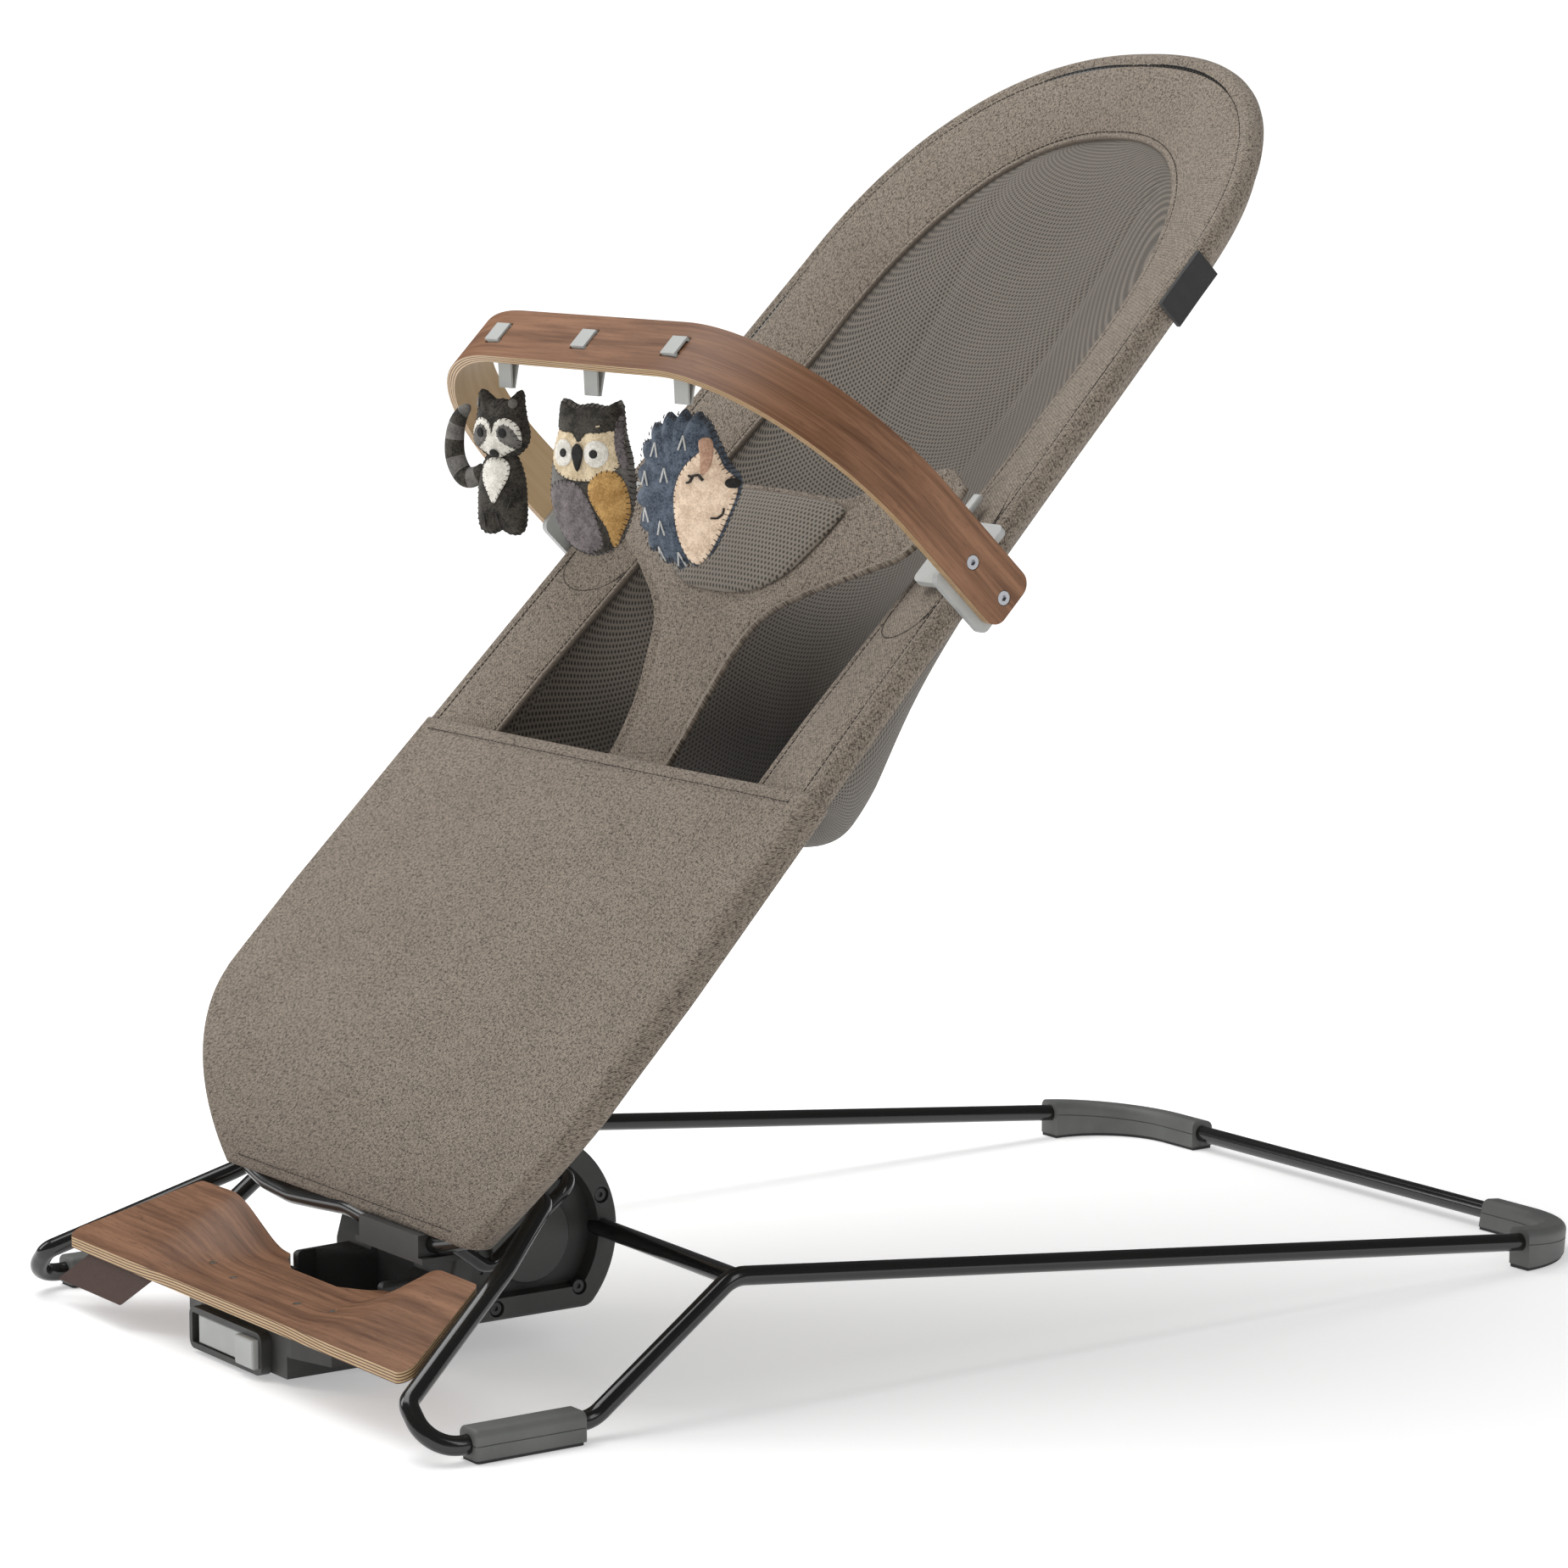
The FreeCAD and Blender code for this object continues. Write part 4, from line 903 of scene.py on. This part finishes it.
n = harness_height(x, s)
outward = np.abs(a) * np.ones_like(x)
drag = unit((outward - 0.45) / 0.55) * rise[:, None] ** 2
n = n + 0.0014 * drag * np.sin((s - 0.30) * 150 + np.abs(x) * 30) + 0.0003 * ruffle(x, s, 17)
edge_in = (1 - np.abs(a)) * edge_x
top_in = (1 - rise[:, None]) * 0.16
for reach in (edge_in, top_in):
    n = n + 0.0012 * bell(reach, 0, 0.0028) - 0.0008 * bell(reach, 0.0065, 0.0013)
front = slope(x, s, n + 0.0016)
back = slope(x, s, n - 0.0016)
points, faces = two_layers(front, back)
cloth = np.stack([x, s * np.ones_like(x)], -1).reshape(-1, 2)
harness = piece("harness_cloth", points, faces, np.concatenate([cloth, cloth]), twill, "seat",
                ["harness"])
harness_area = cut_area(points, faces)
print("harness cloth", round(harness_area, 4), "square metres")

# %% [markdown]
# ## Pads and patches
# A sewn-on pad or a felt patch is an outline filled from its middle: every point is the middle plus
# a share of the way to the outline. It lies on whatever surface it is sewn to, a little proud, and
# rolls over at its edge. Outlines are closed smooth curves through a few points.

# %% Outlines and patches
def smooth_loop(points, count=72):
    """closed Catmull-Rom curve through the points, evenly shared by the running number"""
    p = np.asarray(points, float)
    at = np.linspace(0, len(p), count, endpoint=False)
    k, t = at.astype(int), (at % 1.0)[:, None]
    a, b, c, d = (p[(k + i) % len(p)] for i in (-1, 0, 1, 2))
    square, cube = 2 * a - 5 * b + 4 * c - d, 3 * b - a - 3 * c + d
    return 0.5 * (2 * b + (c - a) * t + square * t ** 2 + cube * t ** 3)


def mirrored(half):
    """a symmetric outline from its right half, bottom to top: the left half follows from the top down"""
    return half + [(-x, z) for x, z in half[::-1] if x]


def patch_arrays(loop, place, thick, puff=0.0, rings=10):
    """closed patch: share of the way out, then over the edge and back underneath"""
    middle = loop.mean(0)
    inside = np.linspace(0, 0.94, rings)
    share = np.concatenate([inside, [0.985, 1.0, 0.985], inside[::-1]])
    lift = np.concatenate([thick + puff * (1 - inside ** 2.5), [0.75 * thick, 0.4 * thick, 0.05 * thick],
                           np.zeros(rings)])
    flat = middle + share[:, None, None] * (loop[None] - middle)
    points = place(flat[..., 0], flat[..., 1], np.broadcast_to(lift[:, None], flat.shape[:2]))
    return points.reshape(-1, 3), quads(len(share), len(loop), round_cols=True), flat.reshape(-1, 2)


print("outline helpers ready")

# %% [markdown]
# ## Harness pad
# A pad of the same mesh is sewn to the middle of the harness, in a lighter colour that is painted
# light. It uses the harness's own height, so it lies on it everywhere, and it is fullest in the middle.

# %% Harness pad
pad_loop = smooth_loop(mirrored([(0.0, 0.2630), (0.030, 0.2655), (0.052, 0.275), (0.066, 0.292),
                                 (0.0735, 0.312), (0.071, 0.3225), (0.036, 0.3235), (0.0, 0.3235)]), 140)


def on_harness(x, s, lift):
    return slope(x, s, harness_height(x, s) + 0.0018 + lift)


points, faces, cloth = patch_arrays(pad_loop, on_harness, 0.0022, 0.0036, rings=26)
pad = piece("harness_mesh_pad", points, faces, cloth, pad_net_painted_light, "seat", ["harness_pad"])

# %% [markdown]
# ## Stitches
# A stitch is a short stick of thread with a square section that lies on the cloth. Hundreds of them
# are one mesh, because all their corners come from the same small sum: two ends, a side and an up.

# %% Stitches
def sticks(a, b, up, wide=0.0004, high=0.0004):
    """boxes from a to b: each end has four corners, half a width to each side and half a height up"""
    up = np.broadcast_to(np.asarray(up, float), a.shape)
    run = (b - a) / np.maximum(np.linalg.norm(b - a, axis=-1, keepdims=True), 1e-9)
    side = np.cross(run, up)
    side = side / np.maximum(np.linalg.norm(side, axis=-1, keepdims=True), 1e-9) * wide / 2
    top = np.cross(side, run)
    top = top / np.maximum(np.linalg.norm(top, axis=-1, keepdims=True), 1e-9) * high / 2
    corners = np.stack([e + i * side + j * top for e in (a, b)
                        for i, j in ((-1, -1), (1, -1), (1, 1), (-1, 1))], 1)
    box = np.array([[0, 1, 2, 3], [7, 6, 5, 4], [0, 4, 5, 1], [1, 5, 6, 2], [2, 6, 7, 3], [3, 7, 4, 0]])
    return corners.reshape(-1, 3), (np.arange(len(a))[:, None, None] * 8 + box).reshape(-1, 4)


def evenly(line, every):
    """points at equal steps along a line, and its directions there"""
    at = np.concatenate([[0], np.cumsum(np.linalg.norm(np.diff(line, axis=0), axis=1))])
    want = np.arange(0, at[-1] - every * 0.5, every)
    here, ahead = (np.stack([np.interp(want + more, at, axis) for axis in line.T], -1)
                   for more in (0.0, every * 0.25))
    run = ahead - here
    return here, run / np.maximum(np.linalg.norm(run, axis=1, keepdims=True), 1e-9)


def closed(loop):
    return np.concatenate([loop, loop[:1]])


def running_seam(line, up, every=0.0034, dash=0.0024):
    """dashes that follow a line"""
    here, run = evenly(line, every)
    return sticks(here, here + run * dash, up)


def gather(parts):
    """several point and face arrays as one"""
    points, faces, first = [], [], 0
    for p, f in parts:
        points.append(p)
        faces.append(f + first)
        first += len(p)
    return np.concatenate(points), np.concatenate(faces)


def on_border(inset, from_window=False):
    """line on the border's face, inset from its outer edge or from its window"""
    f = 1 - inset / span if from_window else inset / span
    n = border_face(f, window_n) - 0.0004
    return slope(outer_x * (1 - f) + window_x * f, outer_s * (1 - f) + window_s * f, n)


seams = [running_seam(on_border(outer_seam), out_slope), running_seam(on_border(0.0038, True), out_slope),
         running_seam(slope(np.linspace(-0.178, 0.178, 120), 0.1475, 0.0089), out_slope),
         running_seam(slope(np.linspace(-0.112, 0.112, 80), -0.1195, 0.0088), (0, -1, 0))]


def patch_seam(side, s_from, height):
    """half an ellipse across the border's face, from its window to its outer seam"""
    turn = np.linspace(0, math.pi, 50)
    s = s_from + height * np.sin(turn)
    edge = wide - taper * s
    rim = window_wide - window_taper * s
    wide_here = edge - rim
    f = (0.012 + (wide_here - 0.016) * (0.5 - 0.5 * np.cos(turn))) / wide_here
    return slope(side * (edge * (1 - f) + rim * f), s, border_face(f, rim_depth(s)) + 0.0001)


for side in (-1, 1):
    for s_from, height in ((0.334, 0.040), (0.281, -0.022)):
        seams.append(running_seam(patch_seam(side, s_from, height), out_slope, 0.0024, 0.0021))
points, faces = gather(seams)
piece("seam_thread", points, faces, np.zeros((len(points), 2)), thread, "seat")

# %% [markdown]
# ## Felt toys
# Each toy is two felt shapes sewn together and stuffed. The body is an outline whose two faces bulge
# by a power of the share of the way out to the edge, so it is full in the middle and sharp at the
# seam. `front` gives the same bulge at any point, and every felt patch is laid on it.

# %% Stuffed toys
toy_turn, rim_points, toy_height = math.radians(22.0), 160, 0.080


def inwards(middle, here):
    """directions from points towards the middle"""
    inward = middle - here
    return inward / np.linalg.norm(inward, axis=1, keepdims=True)


class Toy:
    """a stuffed shape in its own millimetres: x to the right, z up from the toy's lowest point"""

    def __init__(self, node, x0, thick, grow, points):
        low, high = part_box(node)
        self.node = node
        self.base = np.array([x0, (low[1] + high[1]) / 2, high[2]])
        self.thick, self.grow = thick * grow, grow
        self.patches, self.felts, self.threads = [], [], []
        self.loop = smooth_loop(np.array(points) / 1000, rim_points)
        self.middle = self.loop.mean(0)
        away = self.loop - self.middle
        turn = np.arctan2(away[:, 1], away[:, 0])
        order = np.argsort(turn)
        self.turn, self.reach = turn[order], np.linalg.norm(away, axis=1)[order]

    def bulge(self, x, z):
        """half thickness at a point: (1 - share^2.6)^0.62, with share 0 in the middle and 1 at the seam"""
        dx, dz = x - self.middle[0], z - self.middle[1]
        reach = np.interp(np.arctan2(dz, dx), self.turn, self.reach, period=math.tau)
        return self.thick * (1 - unit(np.hypot(dx, dz) / reach) ** 2.6) ** 0.62

    def place(self, x, y, z):
        """grown from the top of the toy and turned on its strap"""
        x, z = x * self.grow, (z - toy_height) * self.grow
        c, si = math.cos(toy_turn), math.sin(toy_turn)
        return np.stack(np.broadcast_arrays(self.base[0] + x * c - y * si, self.base[1] + x * si + y * c,
                                            self.base[2] + z), -1)

    def front(self, x, z, lift, face=-1):
        return self.place(x, face * (self.bulge(x, z) + lift), z)

    def stuff(self, material, name, stands_for=()):
        """the body itself, and the stitches over its seam on both faces"""
        share = np.concatenate([np.linspace(0, 1, 16), np.linspace(1, 0, 16)[1:]]) ** 0.8
        face = np.concatenate([-np.ones(16), np.ones(15)])[:, None]
        flat = self.middle + share[:, None, None] * (self.loop - self.middle)
        pucker = 1 + 0.05 * np.sin(np.arange(rim_points) * math.tau * 22 / rim_points) * share[:, None] ** 4
        bulge = self.thick * (1 - share[:, None] ** 2.6) ** 0.62 * pucker
        points = self.place(flat[..., 0], face * bulge, flat[..., 1])
        body = piece(name, points, quads(31, rim_points, round_cols=True), flat.reshape(-1, 2), material,
                     self.node, stands_for)
        here, _ = evenly(closed(self.loop), 0.0030)
        inward = inwards(self.middle, here)
        for face in (-1, 1):
            a, b, c = (self.front(*(here + inward * step).T, 0.0003, face)
                       for step in (0.0017, 0.0008, -0.0001))
            self.threads += [sticks(a, b, (0.0, face, 0.0)), sticks(b, c, (0.0, face, 0.0))]

    def patch(self, material, loop, lift, whip):
        """flat piece of felt on the front, its edge whipped on with thread"""
        place = lambda x, z, up: self.front(x, z, up + lift - 0.0006)
        self.patches.append(patch_arrays(loop, place, 0.0010, rings=5))
        self.felts.append(material)
        if whip:
            here, _ = evenly(closed(loop), 0.0030)
            inward = inwards(loop.mean(0), here)
            a, b = here + inward * 0.0011, here - inward * 0.0004
            self.threads.append(sticks(self.front(*a.T, lift + 0.0005), self.front(*b.T, lift - 0.0002),
                                       (0.0, -1.0, 0.0)))

    def sew(self, material, points, lift=0.0006, whip=True):
        self.patch(material, smooth_loop(np.array(points) / 1000, 64), lift, whip)

    def disc(self, material, x, z, rx, rz=None, lift=0.0012):
        t = np.linspace(0, math.tau, 33)[:-1]
        loop = np.stack([x + rx * np.cos(t), z + (rz or rx) * np.sin(t)], -1) / 1000
        self.patch(material, loop, lift, False)

    def stroke(self, points, lift=0.0012, wide=0.0008):
        """a sewn line through a few points"""
        p = np.array(points) / 1000
        return sticks(self.front(*p[:-1].T, lift), self.front(*p[1:].T, lift), (0.0, -1.0, 0.0), wide, wide)

    def finish(self, name):
        """all patches as one mesh, all thread as another"""
        felts = list(dict.fromkeys(self.felts))
        marks = np.concatenate([np.full(len(f), felts.index(m)) for (_, f, _), m in
                                zip(self.patches, self.felts)])
        points, faces = gather([(p, f) for p, f, _ in self.patches])
        cloth = np.concatenate([c for _, _, c in self.patches])
        piece(name + "_patches", points, faces, cloth, felts, self.node, marks=marks)
        points, faces = gather(self.threads)
        piece(name + "_thread", points, faces, np.zeros((len(points), 2)), thread, self.node)


charcoal = felt("charcoal_felt", (0.010, 0.009, 0.007), (0.072, 0.064, 0.052))
cream = felt("cream_felt", (0.50, 0.39, 0.24), (0.84, 0.70, 0.49))
blush = felt("blush_felt", (0.62, 0.45, 0.32), (0.92, 0.74, 0.57))
white = felt("white_felt", (0.60, 0.57, 0.50), (0.92, 0.89, 0.82))
mid_grey = felt("grey_felt", (0.105, 0.100, 0.092), (0.20, 0.19, 0.175))
lilac = felt("lilac_felt", (0.090, 0.078, 0.080), (0.23, 0.200, 0.204))
mustard = felt("mustard_felt", (0.34, 0.185, 0.055), (0.62, 0.375, 0.135))
slate = felt("slate_felt", (0.026, 0.038, 0.058), (0.125, 0.155, 0.200))
pink = felt("pink_felt", (0.36, 0.20, 0.13), (0.60, 0.38, 0.27))
black = felt("black_felt", (0.010, 0.010, 0.010), (0.028, 0.027, 0.026))
pale_thread = felt("pale_thread", (0.50, 0.50, 0.48), (0.70, 0.70, 0.68))
print("felt colours ready")

# %% [markdown]
# ## Owl
# One wide body with two ear tufts. The cap, the face, the belly and the wing are patches, the eyes
# are two discs each, and the beak is a drop.

# %% Owl
strap_low, strap_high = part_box("hedgehog_strap")
toy_pitch = (strap_low[0] + strap_high[0]) / 2
owl = Toy("owl", 0.0, 0.0098, 1.06, mirrored([
    (0, 0.2), (16, 7), (25, 28), (24, 48), (20, 62), (18.5, 74), (17, 78.5), (9, 75.5), (0, 76.5)]))
owl.stuff(mid_grey, "owl_body", ["owl"])
owl.sew(charcoal, [(3, 2), (12, 4), (15, 10), (15, 26), (8, 37), (-2, 38), (6, 26), (9, 12)], 0.0006)
owl.sew(lilac, [(-3, 1.5), (8, 5), (9, 13), (5, 26), (-2, 36), (-12, 38), (-22, 34), (-23, 24), (-15, 8)],
        0.0009)
owl.sew(lilac, [(19.4, 72), (20.2, 60), (23.5, 47), (21, 46), (17.4, 58), (17.4, 68)], 0.0012)
owl.sew(mustard, [(5, 38), (12, 43.5), (19, 43), (23.5, 36), (24, 24), (19, 12), (14, 5), (13, 14), (8, 23),
                  (4, 31)], 0.0013)
owl.sew(cream, mirrored([(0, 38), (12, 40), (20.5, 47), (20, 60), (10, 67), (0, 61)]), 0.0009)
owl.sew(charcoal, [(-17, 77), (-9, 74), (0, 75), (9, 74), (17, 77), (19, 66), (11, 62.5), (3, 62),
                   (-1.5, 57.5), (-6, 62), (-13, 62.5), (-19, 66)], 0.0013)
for side in (-1, 1):
    owl.disc(white, 10.2 * side - 1.5, 52, 6.8, lift=0.0016)
    owl.disc(black, 9.4 * side - 1.5, 52, 2.2, lift=0.0023)
owl.sew(black, [(-1.5, 43), (1.3, 49), (1.6, 54), (-1.5, 57), (-4.6, 54), (-4.3, 49)], 0.0026, False)
owl.finish("owl")

# %% [markdown]
# ## Raccoon
# Head and body are two stuffed shapes sewn one over the other, and a striped tail curls up beside
# them. The tail is a round tube about a curve, and its stripes are its own faces marked in turn.

# %% Raccoon
raccoon = Toy("raccoon", -toy_pitch, 0.0082, 1.0, mirrored([
    (0, 2.6), (5, 0.3), (12, 0.6), (15.5, 6), (15.8, 20), (14.5, 32), (10.5, 42), (5, 47)]))
raccoon.stuff(charcoal, "raccoon_body", ["raccoon"])
raccoon.sew(white, mirrored([(0, 17.5), (4.6, 24), (8.4, 31), (8.6, 38), (4, 42)]))
for ends in ([(-7, 4), (-6.5, 12)], [(2, 3), (2, 12)], [(11, 20), (9, 14)]):
    raccoon.threads.append(raccoon.stroke(ends))
raccoon.finish("raccoon")
head = Toy("raccoon", -toy_pitch, 0.0092, 1.0, mirrored([
    (0, 39.5), (8, 42), (16, 48), (18, 55), (16, 64), (14.5, 72), (13.5, 79), (7, 73.5), (0, 74)]))
head.stuff(charcoal, "raccoon_head")
head.sew(white, [(-15.5, 50), (-15, 59), (-9, 64), (-2.5, 62), (0, 56), (2.5, 62), (9, 64), (15, 59),
                 (15.5, 50), (8, 45), (0, 42), (-8, 45)])
for side in (-1, 1):
    eye_patch = [(3.4, 57), (7, 60.5), (12, 58), (15.8, 50.5), (13, 47.5), (8, 49.5), (4.4, 52.5)]
    head.sew(mid_grey, [(x * side, z) for x, z in eye_patch], 0.0011)
    head.disc(black, 7.4 * side, 56, 2.3, 2.7, lift=0.0020)
    head.disc(mid_grey, 11.6 * side, 72.0, 1.7, 2.6, lift=0.0010)
head.disc(black, 0, 44.6, 2.9, 2.3, lift=0.0020)
head.finish("raccoon_head")

tail_rings, tail_sides, tail_r = 41, 24, 0.0060
t = np.linspace(0, 1, tail_rings)[:, None]
turn_round = np.linspace(0, math.tau, tail_sides + 1)[:-1][None, :]
path = smooth_loop(np.array([(-11, 36), (-18, 31), (-26, 31), (-32, 41), (-32, 54), (-28, 64), (-21, 68),
                             (-12, 60), (-8, 44)]) / 1000, 90)[:61]
middle = np.stack([np.interp(t[:, 0] * 60, np.arange(61), axis) for axis in path.T], -1)
run = np.gradient(middle, axis=0)
run = run / np.linalg.norm(run, axis=1, keepdims=True)
radius = tail_r * np.sin(math.pi * unit(0.14 + 0.86 * t)) ** 0.4
tail = raccoon.place(middle[:, :1] + run[:, 1:] * radius * np.cos(turn_round),
                     0.80 * radius * np.sin(turn_round),
                     middle[:, 1:] - run[:, :1] * radius * np.cos(turn_round))
stripe = np.repeat((np.arange(tail_rings - 1) // 5) % 2, tail_sides)
cloth = np.stack(np.broadcast_arrays(turn_round * tail_r, t * 0.06), -1)
tail_points, tail_faces = tail.reshape(-1, 3), quads(tail_rings, tail_sides, round_cols=True)
tail_points[:tail_sides] = tail_points[:tail_sides].mean(0)
raccoon_tail = piece("raccoon_tail", tail_points, tail_faces, cloth, [charcoal, mid_grey], "raccoon",
                     marks=stripe)

# %% [markdown]
# ## Hedgehog
# Its back has a scalloped edge, made by adding a rectified sine to the outline. The face is one
# cream patch that runs out to the nose, and short pairs of stitches stand for spines.

# %% Hedgehog
hedgehog = Toy("hedgehog", toy_pitch, 0.0098, 1.06, [
    (2, 0.3), (15, 8), (25, 24), (33.5, 44), (26, 54), (20, 64), (12, 76), (0, 78.5), (-13, 75),
    (-23, 64), (-28, 46), (-28, 28), (-22, 11), (-10, 2)])
away = hedgehog.loop - hedgehog.middle
back_edge = unit((0.014 - away[:, 0]) / 0.010)
dip = 0.0042 * back_edge * (1 - np.abs(np.sin(np.arange(rim_points) * math.pi * 19 / rim_points)))
hedgehog.loop = hedgehog.loop - away / np.linalg.norm(away, axis=1, keepdims=True) * dip[:, None]
hedgehog.stuff(slate, "hedgehog_body", ["hedgehog"])
hedgehog.sew(blush, [(7, 3), (15, 8.5), (24.5, 24), (32.5, 43), (25, 52), (19, 61), (13, 58), (5, 50),
                     (0.5, 40), (0, 28), (2, 14)])
hedgehog.sew(pink, [(13, 64), (17.5, 65), (20, 58), (19, 50), (15.5, 48), (14.5, 56)], 0.0014, False)
hedgehog.disc(black, 31.0, 44.0, 3.0, 2.5, lift=0.0022)
for points, lift, wide_line in (([(10, 44), (11.5, 47), (14.5, 47.5), (17, 45)], 0.0016, 0.0012),
                                ([(10, 44), (8, 43.4)], 0.0016, 0.0010),
                                ([(11, 46.4), (9, 47)], 0.0016, 0.0010),
                                ([(19.5, 26.5), (22.5, 26.5), (25, 28.5), (26, 31.5)], 0.0014, 0.0009)):
    hedgehog.threads.append(hedgehog.stroke(points, lift, wide_line))
hedgehog.finish("hedgehog")
tips = [(-13, 62), (4, 66), (-19, 48), (-6, 50), (-9, 24), (-19, 30), (-12, 11), (0, 9)]
points, faces = gather([hedgehog.stroke([(x0 - 2.2, z0 - 7.0), (x0, z0), (x0 + 2.2, z0 - 7.0)], 0.0003,
                                        0.0007) for x0, z0 in tips])
piece("hedgehog_spines", points, faces, np.zeros((len(points), 2)), pale_thread, "hedgehog")

# %% [markdown]
# ## Stand it on the floor
# The floor is one large plane at the lowest point of the feet. It glows a little, more so further out,
# so that it runs into its background without a line, as a sweep of white paper does; the weaker glow
# near the seat is a painted shadow under it.

# %% Floor
def ground(size, height):
    """flat square of the given half size"""
    corners = np.array([[-1, -1, 0], [1, -1, 0], [1, 1, 0], [-1, 1, 0]], float) * size
    corners[:, 2] = height
    mesh = bpy.data.meshes.new("floor")
    mesh.from_pydata(corners.tolist(), [], [(0, 1, 2, 3)])
    f = Finish("white_floor_painted_shadow")
    shade = f.noise(f.place, 0.6, 2.0)
    # painted shadow: the floor glows less within about a metre of the seat, so it is darker under it
    painted_shadow_to_glow = f.step(f.vector("LENGTH", f.place, out=1), 0.35, 1.5)
    wire(f.tree, f.shader.inputs["Emission Color"], f.mix(painted_shadow_to_glow, (0.43, 0.43, 0.43), (1.0, 1.0, 1.0)))
    mesh.materials.append(f.paint(f.mix(shade, (0.84, 0.84, 0.84), (0.87, 0.87, 0.87)), 0.8,
                                  Emission_Strength=0.85, Specular_IOR_Level=0.1))
    obj = bpy.data.objects.new("floor", mesh)
    bpy.context.scene.collection.objects.link(obj)


ground(40.0, cad_low.z - 0.0002)
print("floor at", round(cad_low.z, 4))
